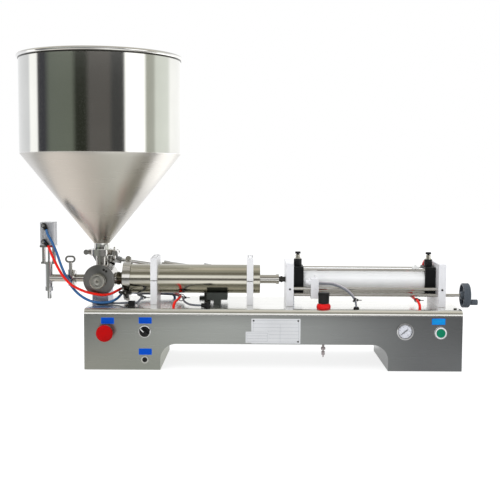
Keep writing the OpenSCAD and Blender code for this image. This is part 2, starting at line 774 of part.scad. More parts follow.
module actuator_rod() color([0.76, 0.76, 0.77])
    on_drive_line() {
        inner = lever_t / 2 + fork_gap;
        difference() {
            box([-fork_half, -inner - fork_t, -fork_half], [fork_reach + 6, inner + fork_t, fork_half]);
            box([-fork_half - past, -inner, -fork_half - past], [fork_reach, inner, fork_half + past]);
        }
        rod_y(drive_pin_r, -inner - fork_t - 1.5, inner + fork_t + 1.5, 0, 0);
        rod_x(drive_rod_r, fork_reach + 5, drive_reach + drive_piston_at, 0, 0);
        rod_x(drive_bore_r - run_gap, drive_reach + drive_piston_at - 1,
            drive_reach + drive_piston_at + 13, 0, 0);
    }
drive_piston_at = 64;

module actuator_cylinder() color([0.78, 0.78, 0.79])
    on_drive_line() {
        nose = 14;
        translate([drive_reach, 0, 0]) rotate([0, 90, 0])
            rotate_extrude($fn = fn_mid)
                polygon([
                    [drive_rod_r + run_gap, 0], [10, 0], [10, 6], [drive_r + 1, 6], [drive_r + 1, nose + 6],
                    [drive_r, nose + 6], [drive_r, drive_len - nose - 6], [drive_r + 1, drive_len - nose - 6],
                    [drive_r + 1, drive_len], [0, drive_len], [0, drive_len - nose],
                    [drive_bore_r, drive_len - nose], [drive_bore_r, nose], [drive_rod_r + run_gap, nose]
                ]);
    }

// Post behind the material cylinder that holds the small cylinder's rear end
module actuator_bracket() color([0.3, 0.3, 0.31]) {
    rear_x = drive_reach + drive_len - 20;
    foot_x = valve_x + drive_h * drive_up[0] + (drive_foot + rear_x) * drive_dir[0];
    rear_z = axis_z + drive_h * drive_up[2] + (drive_foot + rear_x) * drive_dir[2];
    difference() {
        union() {
            box([foot_x - 8, drive_y - 8, deck_z], [foot_x + 8, drive_y + 8, rear_z]);
            box([foot_x - 20, drive_y - 12, deck_z], [foot_x + 20, drive_y + 12, deck_z + 6]);
            translate([foot_x, drive_y, rear_z]) rotate([0, drive_tilt, 0])
                box([-12, -20, -20], [12, 20, 20]);
        }
        on_drive_line() rod_x(drive_r + 1, 0, drive_reach + drive_len + past, 0, 0);
        on_drive_line() rod_x(drive_r + 1, drive_reach, drive_reach + drive_len + 30, 0, 0);
    }
}

// Block under the valve, cut to its round body
module valve_post() color([0.68, 0.68, 0.7])
    difference() {
        box([valve_x - 17.5, -42, deck_z], [valve_x + 21.5, 42, axis_z - valve_r * 0.8]);
        rod_y(valve_r, -valve_half, valve_half, valve_x, axis_z, fn_large);
    }

// Tee-shaped support under the middle of the material cylinder
module cylinder_saddle() color([0.28, 0.29, 0.28]) {
    x = tube_x0 + 223.5;
    z = axis_z - tube_r;
    difference() {
        union() {
            box([x - 25.5, -38, z - 12], [x + 25.5, 38, z + 5]);
            box([x - 8.5, -38, deck_z], [x + 8.5, 38, z - 11]);
        }
        rod_x(tube_r, x - 30, x + 30, 0, axis_z, fn_large);
    }
}

module hopper() {
    r = hopper_r;
    w = hopper_wall;
    // The rim is rolled outwards round a wire
    rim_x = r + 0.8;
    color([0.72, 0.71, 0.69])
        translate([valve_x, 0, 0]) {
            rotate_extrude($fn = fn_large)
                union() {
                    polygon([
                        [neck_bore_r, neck_joint_z + gasket_t / 2],
                        [neck_flange_r, neck_joint_z + gasket_t / 2],
                        [neck_flange_r, neck_joint_z + gasket_t / 2 + 2],
                        [neck_r + 1, neck_joint_z + gasket_t / 2 + neck_joint_h],
                        [neck_r, neck_joint_z + gasket_t / 2 + neck_joint_h],
                        [neck_r, cone_z], [r, hopper_joint_z], [r, rim_z], [r - w, rim_z],
                        [r - w, hopper_joint_z + w / 2], [neck_bore_r, cone_z + w / 2]
                    ]);
                    translate([rim_x, rim_z]) circle(r = rim_r, $fn = fn_mid);
                }
        }
}

// Two-piece pipe clamp round the Z axis: bolt lugs on +X, hinge lugs on -X
module pipe_clamp(dims) {
    r = dims[0];
    h = dims[3];
    bolt_x = r + clamp_bolt_out;
    straight = gasket_t / 2 + 0.4 * dims[4] + free_gap;
    lip = gasket_t / 2 + dims[4] + free_gap;
    for (side = [-1, 1])
        difference() {
            intersection() {
                union() {
                    translate([0, 0, -h / 2]) cylinder(r = r, h = h, $fn = fn_large);
                    box([r - 3, -12, -h * 0.36], [bolt_x + 5, 12, h * 0.36]);
                    box([-bolt_x - 5, -9, -h * 0.36], [-r + 3, 9, h * 0.36]);
                }
                box([-3 * r, side > 0 ? 0.75 : -3 * r, -h], [3 * r, side > 0 ? 3 * r : -0.75, h]);
            }
            translate([0, 0, -h]) cylinder(r = dims[2], h = 2 * h, $fn = fn_large);
            rotate_extrude($fn = fn_large)
                polygon([
                    [0, -lip], [dims[2], -lip], [dims[1], -straight], [dims[1], straight],
                    [dims[2], lip], [0, lip]
                ]);
            rod_y(clamp_bolt_r + 0.5, -20, 20, bolt_x, 0, fn_small);
            rod_y(clamp_bolt_r, -20, 20, -bolt_x, 0, fn_small);
        }
    // Bolt that the nut runs on, and the hinge pin with its round head
    rod_y(clamp_bolt_r, -clamp_bolt_len, 12, bolt_x, 0, fn_small);
    rod_y(6, 12, 16, bolt_x, 0, fn_small);
    rod_y(clamp_bolt_r, -9, 9, -bolt_x, 0, fn_small);
    rod_y(6.5, -14, -9, -bolt_x, 0, fn_small);
}
clamp_bolt_len = 30;

// The three clamps stand in different ways, each with its nut's end at hand
module at_neck_joint()
    translate([valve_x, 0, neck_joint_z]) children();
module at_outlet_joint()
    translate([joint_x, 0, axis_z]) rotate([-90, 0, 0]) rotate([0, 90, 0]) children();
module at_tube_joint()
    translate([clamp_x, 0, axis_z]) rotate([-25, 0, 0]) rotate([0, 90, 0]) children();

module pipe_clamps() color([0.74, 0.74, 0.74]) {
    at_neck_joint() pipe_clamp(neck_clamp);
    at_outlet_joint() pipe_clamp(outlet_clamp);
    at_tube_joint() pipe_clamp(tube_clamp);
}

// Nut hub on the clamp's bolt, its bore on the bolt's line
module nut_hub(dims)
    rod_y(nut_hub_r, -12 - nut_len, -12.3, dims[0] + clamp_bolt_out, 0, fn_small);
module nut_bore(dims)
    rod_y(clamp_bolt_r + run_gap, -13 - nut_len, -12, dims[0] + clamp_bolt_out, 0, fn_small);

// Wing nut with two ears
module wing_nut(dims)
    difference() {
        union() {
            nut_hub(dims);
            translate([dims[0] + clamp_bolt_out, -nut_ear_y, 0])
                for (side = [-1, 1])
                    translate([0, 0, side * 10]) rotate([0, 90, 0])
                        linear_extrude(4, center = true)
                            union() {
                                circle(r = 6, $fn = fn_small);
                                translate([side > 0 ? 0 : -8, -1]) square([8, 6]);
                            }
        }
        nut_bore(dims);
    }

// The ears stand far enough out to turn past the clamp's ring
nut_ear_y = 34.5;

module hopper_wing_nut() color([0.72, 0.72, 0.72]) at_neck_joint() wing_nut(neck_clamp);
module cylinder_wing_nut() color([0.3, 0.3, 0.3]) at_tube_joint() wing_nut(tube_clamp);

// Nut with a stem and an oval finger ring, flat to the front
module outlet_ring_nut() color([0.6, 0.6, 0.58])
    at_outlet_joint()
        difference() {
            union() {
                rod_y(nut_hub_r, -24, -12.3, outlet_clamp[0] + clamp_bolt_out, 0, fn_small);
                rod_y(4.5, -ring_stem_len, -12.3, outlet_clamp[0] + clamp_bolt_out, 0, fn_small);
                translate([outlet_clamp[0] + clamp_bolt_out, -ring_stem_len - 6, 0])
                    rotate([0, 90, 0]) linear_extrude(5, center = true)
                        difference() {
                            union() {
                                square([8, 18], center = true);
                                for (side = [-1, 1])
                                    translate([side * 4, 0]) circle(r = 9, $fn = fn_mid);
                            }
                            square([8, 9], center = true);
                            for (side = [-1, 1])
                                translate([side * 4, 0]) circle(r = 4.5, $fn = fn_mid);
                        }
            }
            rod_y(clamp_bolt_r + run_gap, -clamp_bolt_len - 1, -12, outlet_clamp[0] + clamp_bolt_out,
                0, fn_small);
        }
ring_stem_len = 44;

module gaskets() color([0.92, 0.92, 0.9]) {
    at_neck_joint() gasket(neck_flange_r - 0.5, neck_bore_r);
    at_outlet_joint() gasket(outlet_flange_r - 0.5, outlet_bore_r);
    at_tube_joint() gasket(flange_r - 0.5, tube_bore_r);
}
module gasket(r, bore)
    difference() {
        translate([0, 0, -gasket_t / 2]) cylinder(r = r, h = gasket_t, $fn = fn_large);
        translate([0, 0, -gasket_t]) cylinder(r = bore, h = 2 * gasket_t, $fn = fn_large);
    }

module outlet_pipe() color([0.74, 0.74, 0.74])
    difference() {
        union() {
            translate([joint_x - gasket_t / 2, 0, axis_z]) rotate([0, -90, 0])
                flange(outlet_flange_r, outlet_r, outlet_joint_t);
            rod_x(outlet_r, nozzle_x, joint_x - gasket_t / 2 - 1, 0, axis_z);
        }
        rod_x(outlet_bore_r, nozzle_x - past, joint_x, 0, axis_z);
        rod_z(nozzle_r, tip_z0, nozzle_top_z, nozzle_x, 0);
    }

module nozzle_body() color([0.75, 0.75, 0.75])
    difference() {
        translate([nozzle_x, 0, 0])
            rotate_extrude($fn = fn_mid)
                polygon([
                    [0, tip_z0], [tip_r - 0.8, tip_z0], [tip_r, tip_z0 + 0.8], [tip_r, tip_z1],
                    [nozzle_r + 2, tip_z1 + 2], [nozzle_r + 2, collar_z1 - 1], [nozzle_r, collar_z1],
                    [nozzle_r, nozzle_top_z], [0, nozzle_top_z]
                ]);
        rod_z(outlet_hole_r, tip_z0 - past, seat_z0, nozzle_x, 0);
        rod_z(seat_r, seat_z0 - past, seat_z1, nozzle_x, 0);
        rod_z(chamber_r, seat_z1, nozzle_top_z - 7, nozzle_x, 0);
        rod_z(nozzle_rod_r + run_gap, nozzle_top_z - 8, nozzle_top_z + past, nozzle_x, 0);
        rod_x(outlet_bore_r, nozzle_x, nozzle_x + nozzle_r + past, 0, axis_z);
    }

module nozzle_yoke() color([0.76, 0.76, 0.77]) {
    half = nozzle_w / 2;
    half_y = nozzle_depth / 2;
    difference() {
        union() {
            rod_z(nozzle_r + 3, yoke_z0, yoke_z0 + 6, nozzle_x, 0);
            box([nozzle_x - half, -9, yoke_z0 + 1], [nozzle_x + half, 9, yoke_z0 + 6]);
            box([nozzle_x - half, -half_y, yoke_z1 - 5], [nozzle_x + half, half_y, yoke_z1]);
            for (side = [-1, 1])
                rod_z(5, yoke_z0 + 5, yoke_z1 - 4, nozzle_x + side * (half - 5), 0);
        }
        rod_z(nozzle_rod_r + 1, yoke_z0 - past, yoke_z1 + past, nozzle_x, 0);
    }
}

module nozzle_cylinder() color([0.72, 0.73, 0.75]) {
    half = nozzle_w / 2;
    half_y = nozzle_depth / 2;
    difference() {
        translate([nozzle_x, 0, yoke_z1]) linear_extrude(nozzle_cyl_h)
            round_rect(nozzle_w, nozzle_depth, 5);
        rod_z(nozzle_bore_r, yoke_z1 + 8, nozzle_cyl_z1 - 8, nozzle_x, 0);
        rod_z(nozzle_rod_r + run_gap, yoke_z1 - past, yoke_z1 + 9, nozzle_x, 0);
        for (z = [yoke_z1 + elbow_low, yoke_z1 + elbow_high])
            rod_y(4, -half_y - past, -half_y + 4, nozzle_x - 5, z, fn_small);
        for (side = [-1, 1])
            translate([nozzle_x + side * half, 0, yoke_z1 - past])
                cylinder(r = 2.5, h = nozzle_cyl_h + 2 * past, $fn = fn_small);
    }
}

module nozzle_rod() color([0.8, 0.8, 0.8]) {
    rod_z(seat_r - run_gap, seat_z0, seat_z0 + nozzle_lift, nozzle_x, 0);
    rod_z(nozzle_rod_r, seat_z0 + nozzle_lift - 1, yoke_z1 + 20, nozzle_x, 0);
    rod_z(nozzle_bore_r - run_gap, yoke_z1 + 11, yoke_z1 + 25, nozzle_x, 0);
}

// Push-in elbow: a threaded stub on the block, a round body and a collar for the hose
module elbow(at, to) {
    aim = unit(to - at);
    turn = atan2(aim[1], aim[0]);
    lean = acos(aim[2]);
    translate(at) {
        rotate([-90, 0, 0]) cylinder(r = 4, h = 13, $fn = fn_small);
        translate([0, 4, 0]) rotate([-90, 0, 0]) cylinder(r = 5.5, h = 5, $fn = 6);
        rotate([0, 0, turn]) rotate([0, lean, 0])
            cylinder(r = 5.4, h = norm(to - at) - hose_r * 0.4, $fn = fn_small);
        sphere(r = 6.5, $fn = fn_small);
    }
}

// Cable gland on the deck: a hexagon and a round cap
module gland(x, bore)
    difference() {
        union() {
            translate([x, gland_y, deck_z]) cylinder(r = gland_r, h = 3, $fn = 6);
            rod_z(gland_r - 1.2, deck_z, deck_z + 5, x, gland_y, fn_small);
        }
        rod_z(bore, deck_z - past, deck_z + 6, x, gland_y, fn_small);
    }

// Cable tie: a band round the bundle, turned to its line, with a head and a short tail
module cable_tie(c, r, tail, turn)
    translate(c) {
        rotate(turn) rotate([0, 90, 0])
            difference() {
                cylinder(r = r + 1.5, h = 4, center = true, $fn = fn_small);
                cylinder(r = r, h = 6, center = true, $fn = fn_small);
            }
        translate([r + 2.6, 0, 0]) cube([4, 5, 5], center = true);
        translate([r + 4 + tail / 2, 0, -0.5]) cube([tail, 4, 1.4], center = true);
    }

module hose_fittings() color([0.07, 0.07, 0.08]) {
    face = -nozzle_depth / 2;
    elbow([nozzle_x - 5, face - 9, yoke_z1 + elbow_low], red_route[0]);
    elbow([nozzle_x - 5, face - 9, yoke_z1 + elbow_high], blue_route[0]);
    gland(gland_3_x, 5);
    // Clip that holds the cable on the deck, and the plug that takes it below
    difference() {
        box([clip_x - 8, clip_y - 5.5, deck_z], [clip_x + 8, clip_y + 5.5, deck_z + 11.5]);
        rod_x(cable_r + 0.8, clip_x - 9, clip_x + 9, clip_y, deck_z + 7, fn_small);
    }
    rod_x(5.5, connector_x - plug_len, connector_x, gland_y + 4, deck_z + 6, fn_small);
    rod_z(6.5, deck_z, deck_z + 13, connector_x, gland_y + 4, fn_small);
    rod_z(4, deck_z - sheet - 4, deck_z + 1, connector_x, gland_y + 1, fn_small);
    cable_tie(tie_1, 3.8, 10, [0, 0, 90]);
    cable_tie(tie_2, 7.6, 9, [0, 0, 90]);
    cable_tie(tie_3, 4.3, 9, [0, 35, -15]);
    cable_tie(tie_4, 4, 9, [0, 0, 105]);
}

// Union nut and flat front cover of the material cylinder
module cylinder_inlet() color([0.5, 0.49, 0.45])
    difference() {
        union() {
            translate([union_x, 0, axis_z]) rotate([0, 90, 0])
                rotate_extrude($fn = fn_mid)
                    polygon([
                        [0, 0], [15.5, 0], [16.5, 1], [16.5, 6], [15, 7], [15, 10], [16.5, 11],
                        [16.5, 16], [15.5, 17], [15, union_len], [0, union_len]
                    ]);
            translate([cover_x + flange_t, 0, axis_z]) rotate([0, -90, 0])
                flange(flange_r, tube_r - 4, flange_t);
        }
        rod_x(port_r, union_x - past, cover_x + flange_t + past, 0, axis_z);
    }

module material_cylinder() color([0.66, 0.64, 0.6])
    difference() {
        union() {
            rod_x(tube_r, tube_x0 + 1, tube_x1, 0, axis_z, fn_large);
            translate([tube_x0, 0, axis_z]) rotate([0, 90, 0]) flange(flange_r, tube_r, flange_t);
        }
        rod_x(tube_bore_r, tube_x0 - past, tube_x1 + past, 0, axis_z, fn_large);
    }

// One bracket: a lower half on the deck and an upper half, with a gap between them
module bracket(x)
    difference() {
        box([x - bracket_t / 2, -bracket_half, deck_z],
            [x + bracket_t / 2, bracket_half, axis_z + bracket_top]);
        rod_x(tube_r, x - bracket_t, x + bracket_t, 0, axis_z, fn_large);
        box([x - bracket_t, -bracket_half - past, axis_z - 1.5],
            [x + bracket_t, bracket_half + past, axis_z + 0.5]);
        for (y = [-1, 1]) {
            rod_z(3, axis_z - 20, axis_z + bracket_top + past, x, y * (bracket_half - 7), fn_small);
            rod_z(5, axis_z + bracket_top - 5, axis_z + bracket_top + past, x,
                y * (bracket_half - 7), fn_small);
        }
    }
bracket_top = 56;

module cylinder_brackets() color([0.86, 0.86, 0.87]) {
    bracket(tube_x0 + bracket_1);
    bracket(tube_x0 + bracket_2);
}

module material_piston() color([0.6, 0.6, 0.6])
    translate([piston_x0, 0, axis_z]) rotate([0, 90, 0])
        rotate_extrude($fn = fn_large)
            polygon([
                [0, 0], [tube_bore_r - run_gap - 2, 0], [tube_bore_r - run_gap, 2],
                [tube_bore_r - run_gap, 8], [seal_in_r, 8], [seal_in_r, 14],
                [tube_bore_r - run_gap, 14], [tube_bore_r - run_gap, piston_len - 14],
                [seal_in_r, piston_len - 14], [seal_in_r, piston_len - 8],
                [tube_bore_r - run_gap, piston_len - 8], [tube_bore_r - run_gap, piston_len],
                [0, piston_len]
            ]);
seal_in_r = tube_bore_r - 4;

module piston_seals() color([0.9, 0.9, 0.88])
    for (x = [piston_x0 + 8, piston_x1 - 14])
        difference() {
            rod_x(tube_bore_r - run_gap, x, x + 6, 0, axis_z, fn_large);
            rod_x(seal_in_r, x - past, x + 6 + past, 0, axis_z, fn_large);
        }

// Bright rod behind the material piston, and the lock nut on its end
module coupling_rod() color([0.7, 0.66, 0.62])
    difference() {
        union() {
            rod_x(coupling_r, piston_x1, coupling_x1, 0, axis_z);
            rod_x(coupling_r + 1.5, coupling_x1 - 1, lock_nut_x1, 0, axis_z);
        }
        rod_x(thread_r, coupling_x1 - 20, lock_nut_x1 + past, 0, axis_z);
    }
thread_r = 6.5;

module air_piston() color([0.45, 0.45, 0.46]) {
    rod_x(thread_r, coupling_x1 - 20, plate_x0 + 4, 0, axis_z);
    rod_x(thread_r + 1.5, lock_nut_x1 + 4, lock_nut_x1 + 9, 0, axis_z);
    rod_x(rod_r, plate_x0 + 3, air_piston_x0 + 1, 0, axis_z);
    rod_x(barrel_bore_r - run_gap, air_piston_x0, air_piston_x1, 0, axis_z, fn_large);
}

// Square cap between x0 and x1, its outer top edge rounded on the side out
module air_cap(x0, bore, port_x)
    difference() {
        translate([x0, 0, axis_z]) rotate([90, 0, 90]) linear_extrude(cap_t)
            round_rect(cap_side, cap_side, 7);
        rod_x(bore, x0 - past, x0 + cap_t + past, 0, axis_z);
        for (y = [-1, 1], z = [-1, 1])
            rod_x(tie_r, x0 - past, x0 + cap_t + past, y * tie_pitch, axis_z + z * tie_pitch, fn_small);
        rod_z(5, axis_z + cap_side / 2 - 8, axis_z + cap_side / 2 + past, port_x, 0, fn_small);
    }
tie_r = 3.5;
tie_pitch = cap_side / 2 - 8;

module air_caps() color([0.1, 0.11, 0.11]) {
    air_cap(cap_x0, rod_r + run_gap, port_left_x);
    difference() {
        air_cap(cap_x1, 3, port_right_x);
    }
}

module air_barrel() color([0.9, 0.91, 0.93])
    difference() {
        rod_x(barrel_r, barrel_x0, barrel_x1, 0, axis_z, fn_large);
        rod_x(barrel_bore_r, barrel_x0 - past, barrel_x1 + past, 0, axis_z, fn_large);
    }

// Four tie rods of the air cylinder, and the guide rod in front of it
module fixed_rods() color([0.85, 0.85, 0.86]) {
    for (y = [-1, 1], z = [-1, 1])
        rod_x(tie_r, cap_x0, cap_x1 + cap_t, y * tie_pitch, axis_z + z * tie_pitch, fn_small);
    rod_x(guide_r, plate_x0 + 4, plate_x2 - 4, -rail_y, guide_z);
}

module end_plates() color([0.88, 0.88, 0.9]) {
    difference() {
        box([plate_x0, -plate_half, deck_z], [plate_x0 + plate_t, plate_half, deck_z + plate_h]);
        rod_x(rod_r + 4, plate_x0 - past, plate_x0 + plate_t + past, 0, axis_z);
        rod_x(guide_r, plate_x0 + 4, plate_x0 + plate_t + past, -rail_y, guide_z);
        rod_x(journal_r + run_gap, plate_x0 + 4, plate_x0 + plate_t + past, -rail_y, screw_z);
    }
    difference() {
        box([plate_x1, -plate_half, deck_z], [plate_x2, plate_half, deck_z + plate_h]);
        rod_x(guide_r, plate_x1 - past, plate_x2 - 4, -rail_y, guide_z);
        rod_x(journal_r + run_gap, plate_x1 - past, plate_x2 + past, -rail_y, screw_z);
    }
}

// Flow controller on a cap: black body with a side port, nickel neck for the needle
module flow_controller(x) {
    z = axis_z + cap_side / 2;
    difference() {
        union() {
            rod_z(5, z - 7, z + 1, x, 0, fn_small);
            rod_z(10, z, z + 17, x, 0);
            rod_y(6, 0, 20, x, z + 9, fn_small);
            rod_z(6, z + 16, z + 28, x, 0, fn_small);
        }
        rod_z(flow_stem_r + run_gap, z + 6, z + 28 + past, x, 0, fn_small);
    }
}
flow_stem_r = 3;

module flow_controllers() color([0.09, 0.09, 0.1]) {
    flow_controller(port_left_x);
    flow_controller(port_right_x);
}

module flow_knob(x) color([0.06, 0.06, 0.06]) {
    z = axis_z + cap_side / 2;
    rod_z(flow_stem_r, z + 8, z + 31, x, 0, fn_small);
    rod_z(6.9, z + 29.5, z + 35, x, 0);
}
module flow_knob_left() flow_knob(port_left_x);
module flow_knob_right() flow_knob(port_right_x);

module regulator_body() color([0.2, 0.2, 0.21])
    difference() {
        union() {
            rod_z(reg_thread_r + 1, deck_z - sheet - 5, deck_z - sheet, reg_x, reg_y);
            rod_z(20, deck_z - sheet - 32, deck_z - sheet - 4, reg_x, reg_y);
            rod_z(reg_thread_r, deck_z - sheet - 1, ring_z1, reg_x, reg_y);
            rod_x(8, reg_x - 30, reg_x + 30, reg_y, deck_z - sheet - 16);
        }
        rod_z(spindle_r + run_gap, deck_z - sheet - 20, ring_z1 + past, reg_x, reg_y);
    }

module regulator_ring() color([0.85, 0.08, 0.08])
    translate([reg_x, reg_y, deck_z])
        rotate_extrude($fn = fn_mid)
            polygon([
                [reg_thread_r, 0], [ring_r, 0], [ring_r, 7], [ring_r - 2.5, 12], [reg_thread_r, 12]
            ]);

module filter_bowl() color([0.3, 0.3, 0.3])
    translate([reg_x, reg_y, 0])
        rotate_extrude($fn = fn_mid)
            polygon([
                [0, 30], [drain_r - 1, 30], [drain_r, 31], [drain_r, arch_h + sheet + 3],
                [14, arch_h + sheet + 5], [18, arch_h + sheet + 12], [18, deck_z - sheet - 32],
                [0, deck_z - sheet - 32]
            ]);

// Spindle and knob of the regulator, turned together
module regulator_knob() color([0.05, 0.05, 0.05])
    translate([reg_x, reg_y, 0])
        rotate_extrude($fn = fn_mid)
            polygon([
                [0, deck_z - sheet - 18], [spindle_r, deck_z - sheet - 18], [spindle_r, ring_z1 + 0.8],
                [knob_r - 0.7, ring_z1 + 0.8], [knob_r - 0.7, knob_z1 - 8], [knob_r + 0.3, knob_z1 - 7],
                [knob_r + 0.3, knob_z1 - 2], [knob_r - 2, knob_z1], [0, knob_z1]
            ]);

// Push-in air inlet through the rear cover
module air_inlet() color([0.6, 0.55, 0.4])
    difference() {
        union() {
            rod_y(inlet_r, back_y - sheet - 12, back_y + sheet + 1, inlet_x, inlet_z);
            translate([inlet_x, back_y + sheet, inlet_z]) rotate([-90, 0, 0])
                cylinder(r = 11, h = 5, $fn = 6);
            rod_y(8.5, back_y + sheet + 4, back_y + sheet + inlet_len, inlet_x, inlet_z);
        }
        rod_y(inlet_bore_r, back_y + sheet + 2, back_y + sheet + inlet_len + past, inlet_x, inlet_z);
    }

module air_hoses() {
    color([0.85, 0.1, 0.1]) route_tube(red_route, hose_r);
    color([0.1, 0.3, 0.6]) route_tube(blue_route, hose_r);
    color([0.85, 0.1, 0.1]) route_tube(red_port_route, hose_r);
    color([0.1, 0.3, 0.6]) route_tube(blue_port_route, hose_r);
}

module grey_cables() color([0.45, 0.45, 0.46])
    route_tube(cable_route, cable_r);

module stop_stem() color([0.3, 0.3, 0.3])
    rod_y(switch_bore_r - run_gap, front_y - stop_collar_t - stop_travel - 2,
        front_y + switch_depth - 8 - stop_travel - 3, stop_x, stop_z);

module stop_head() color([0.85, 0.05, 0.08])
    translate([stop_x, front_y - stop_collar_t - stop_travel - 2, stop_z]) rotate([90, 0, 0])
        rotate_extrude($fn = fn_large)
            polygon([
                [0, 0], [stop_r - 3, 0], [stop_r, 2.5], [stop_r, 6], [stop_r - 1, 8.5],
                [stop_r - 4, 10.5], [stop_r - 9, 11.6], [0, 12]
            ]);

module selector_knob() color([0.06, 0.06, 0.06]) {
    y = front_y - bezel_t;
    rod_y(switch_bore_r - run_gap, y - 1, y + 40, selector_x, panel_z);
    rod_y(12, y - 5, y - 0.4, selector_x, panel_z);
    translate([selector_x, y - 4, panel_z]) rotate([90, -45, 0])
        linear_extrude(11) round_rect(8, 23, 3);
}

module start_button() color([0.05, 0.6, 0.2]) {
    face_y = front_y - start_bezel_t - start_travel + 1;
    rod_y(start_r, face_y, face_y + 4, start_x, panel_z);
    rod_y(switch_bore_r - run_gap, face_y + 3, face_y + 40, start_x, panel_z);
}

module sensor_block() color([0.9, 0.9, 0.92]) {
    x0 = block_x;
    x1 = block_x + block_len;
    difference() {
        box([x0, block_front_y, block_z0], [x1, block_back_y, block_z1]);
        rod_x(guide_r + run_gap, x0 - past, x1 + past, -rail_y, guide_z);
        rod_x(screw_r + run_gap, x0 - past, x1 + past, -rail_y, screw_z);
        rod_x(sensor_r, x0 - past, x1 + past, -rail_y, sensor_z);
        rod_y(2, block_front_y - past, block_front_y + 2, (x0 + x1) / 2 + 2, guide_z - 0.5, fn_small);
    }
    // Sensor barrel with its two nuts, and the pin on top
    rod_x(sensor_r, x0 - 12, x1, -rail_y, sensor_z);
    translate([x0 - 5, -rail_y, sensor_z]) rotate([0, 90, 0])
        difference() {
            cylinder(r = 9, h = 5, $fn = 6);
            translate([0, 0, -past]) cylinder(r = sensor_r, h = 5 + 2 * past, $fn = fn_mid);
        }
    rod_z(1.5, block_z1, block_z1 + 7, (x0 + x1) / 2 + 1, -rail_y, fn_small);
}

module sensor_cable() color([0.55, 0.55, 0.56])
    for (side = [-1, 1])
        route_tube([for (p = sensor_route) p + side * strand_side], strand_r, 6);

module lead_screw() color([0.8, 0.8, 0.8]) {
    rod_x(journal_r, plate_x0 + 5, plate_x0 + plate_t + 1, -rail_y, screw_z);
    rod_x(screw_r, plate_x0 + plate_t + 0.5, plate_x1 - 0.5, -rail_y, screw_z);
    rod_x(journal_r, plate_x1 - 1, wheel_x + wheel_t - 5, -rail_y, screw_z);
}

module hand_wheel() color([0.35, 0.37, 0.41]) {
    x0 = wheel_x;
    x1 = wheel_x + wheel_t;
    rim = 5;
    difference() {
        union() {
            difference() {
                rod_x(wheel_r, x0, x1, -rail_y, screw_z, fn_large);
                rod_x(wheel_r - rim, x0 - past, x1 + past, -rail_y, screw_z, fn_large);
            }
            rod_x(9, x0 - 4, x1 - 2, -rail_y, screw_z);
            rod_x(wheel_r - rim + 1, x1 - 7, x1 - 4, -rail_y, screw_z, fn_large);
        }
        rod_x(journal_r, x0 - 5, x1 - 5, -rail_y, screw_z);
    }
    rod_x(crank_pin_r, x1 - 5, x1 + crank_pin_len, crank_y, crank_z, fn_small);
}
crank_pin_r = 3;
crank_pin_len = 14;
crank_out = wheel_r - 9;
crank_y = -rail_y - crank_out * sin(45);
crank_z = screw_z - crank_out * cos(45);

module crank_knob() color([0.33, 0.35, 0.39])
    difference() {
        rod_x(crank_r, wheel_x + wheel_t + 0.5, wheel_x + wheel_t + crank_pin_len + 4, crank_y, crank_z);
        rod_x(crank_pin_r + run_gap, wheel_x + wheel_t - past, wheel_x + wheel_t + crank_pin_len + 0.5,
            crank_y, crank_z, fn_small);
    }

chassis();
rear_cover();
cap_screws();
switch_housings();
gauge_case();
gauge_glass();
label_plates();
valve_body();
valve_cover();
actuator_cylinder();
actuator_bracket();
valve_post();
cylinder_saddle();
hopper();
pipe_clamps();
outlet_pipe();
nozzle_body();
nozzle_yoke();
nozzle_cylinder();
hose_fittings();
cylinder_inlet();
material_cylinder();
cylinder_brackets();
gaskets();
air_caps();
air_barrel();
fixed_rods();
end_plates();
flow_controllers();
regulator_body();
regulator_ring();
filter_bowl();
air_hoses();
grey_cables();
air_inlet();
stop_stem();
stop_head();
selector_knob();
start_button();
gauge_needle();
valve_rotor();
valve_knob();
valve_lever();
actuator_rod();
hopper_wing_nut();
outlet_ring_nut();
cylinder_wing_nut();
nozzle_rod();
material_piston();
piston_seals();
coupling_rod();
air_piston();
sensor_block();
sensor_cable();
lead_screw();
hand_wheel();
crank_knob();
flow_knob_left();
flow_knob_right();
regulator_knob();
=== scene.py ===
"""Looks of the bench-top piston filler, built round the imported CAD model.

Lengths are millimetres, apart from those of the camera, the floor and the lamps, which are metres.
"""
import math

import bmesh
import bpy
from mathutils import Matrix, Vector


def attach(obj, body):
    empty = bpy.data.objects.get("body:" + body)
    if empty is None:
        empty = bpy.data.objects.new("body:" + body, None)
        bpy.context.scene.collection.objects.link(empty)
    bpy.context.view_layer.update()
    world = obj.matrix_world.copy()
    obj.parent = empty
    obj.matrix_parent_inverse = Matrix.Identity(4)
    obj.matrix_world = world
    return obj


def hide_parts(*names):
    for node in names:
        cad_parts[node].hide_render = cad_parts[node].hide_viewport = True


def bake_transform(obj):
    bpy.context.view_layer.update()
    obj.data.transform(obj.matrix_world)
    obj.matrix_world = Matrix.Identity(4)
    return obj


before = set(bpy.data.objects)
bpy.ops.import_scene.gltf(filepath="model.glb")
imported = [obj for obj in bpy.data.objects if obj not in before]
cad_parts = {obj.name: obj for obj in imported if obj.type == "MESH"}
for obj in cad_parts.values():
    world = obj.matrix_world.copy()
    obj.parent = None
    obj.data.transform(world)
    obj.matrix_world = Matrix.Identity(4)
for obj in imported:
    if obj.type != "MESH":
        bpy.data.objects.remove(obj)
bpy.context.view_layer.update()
MM = 0.001

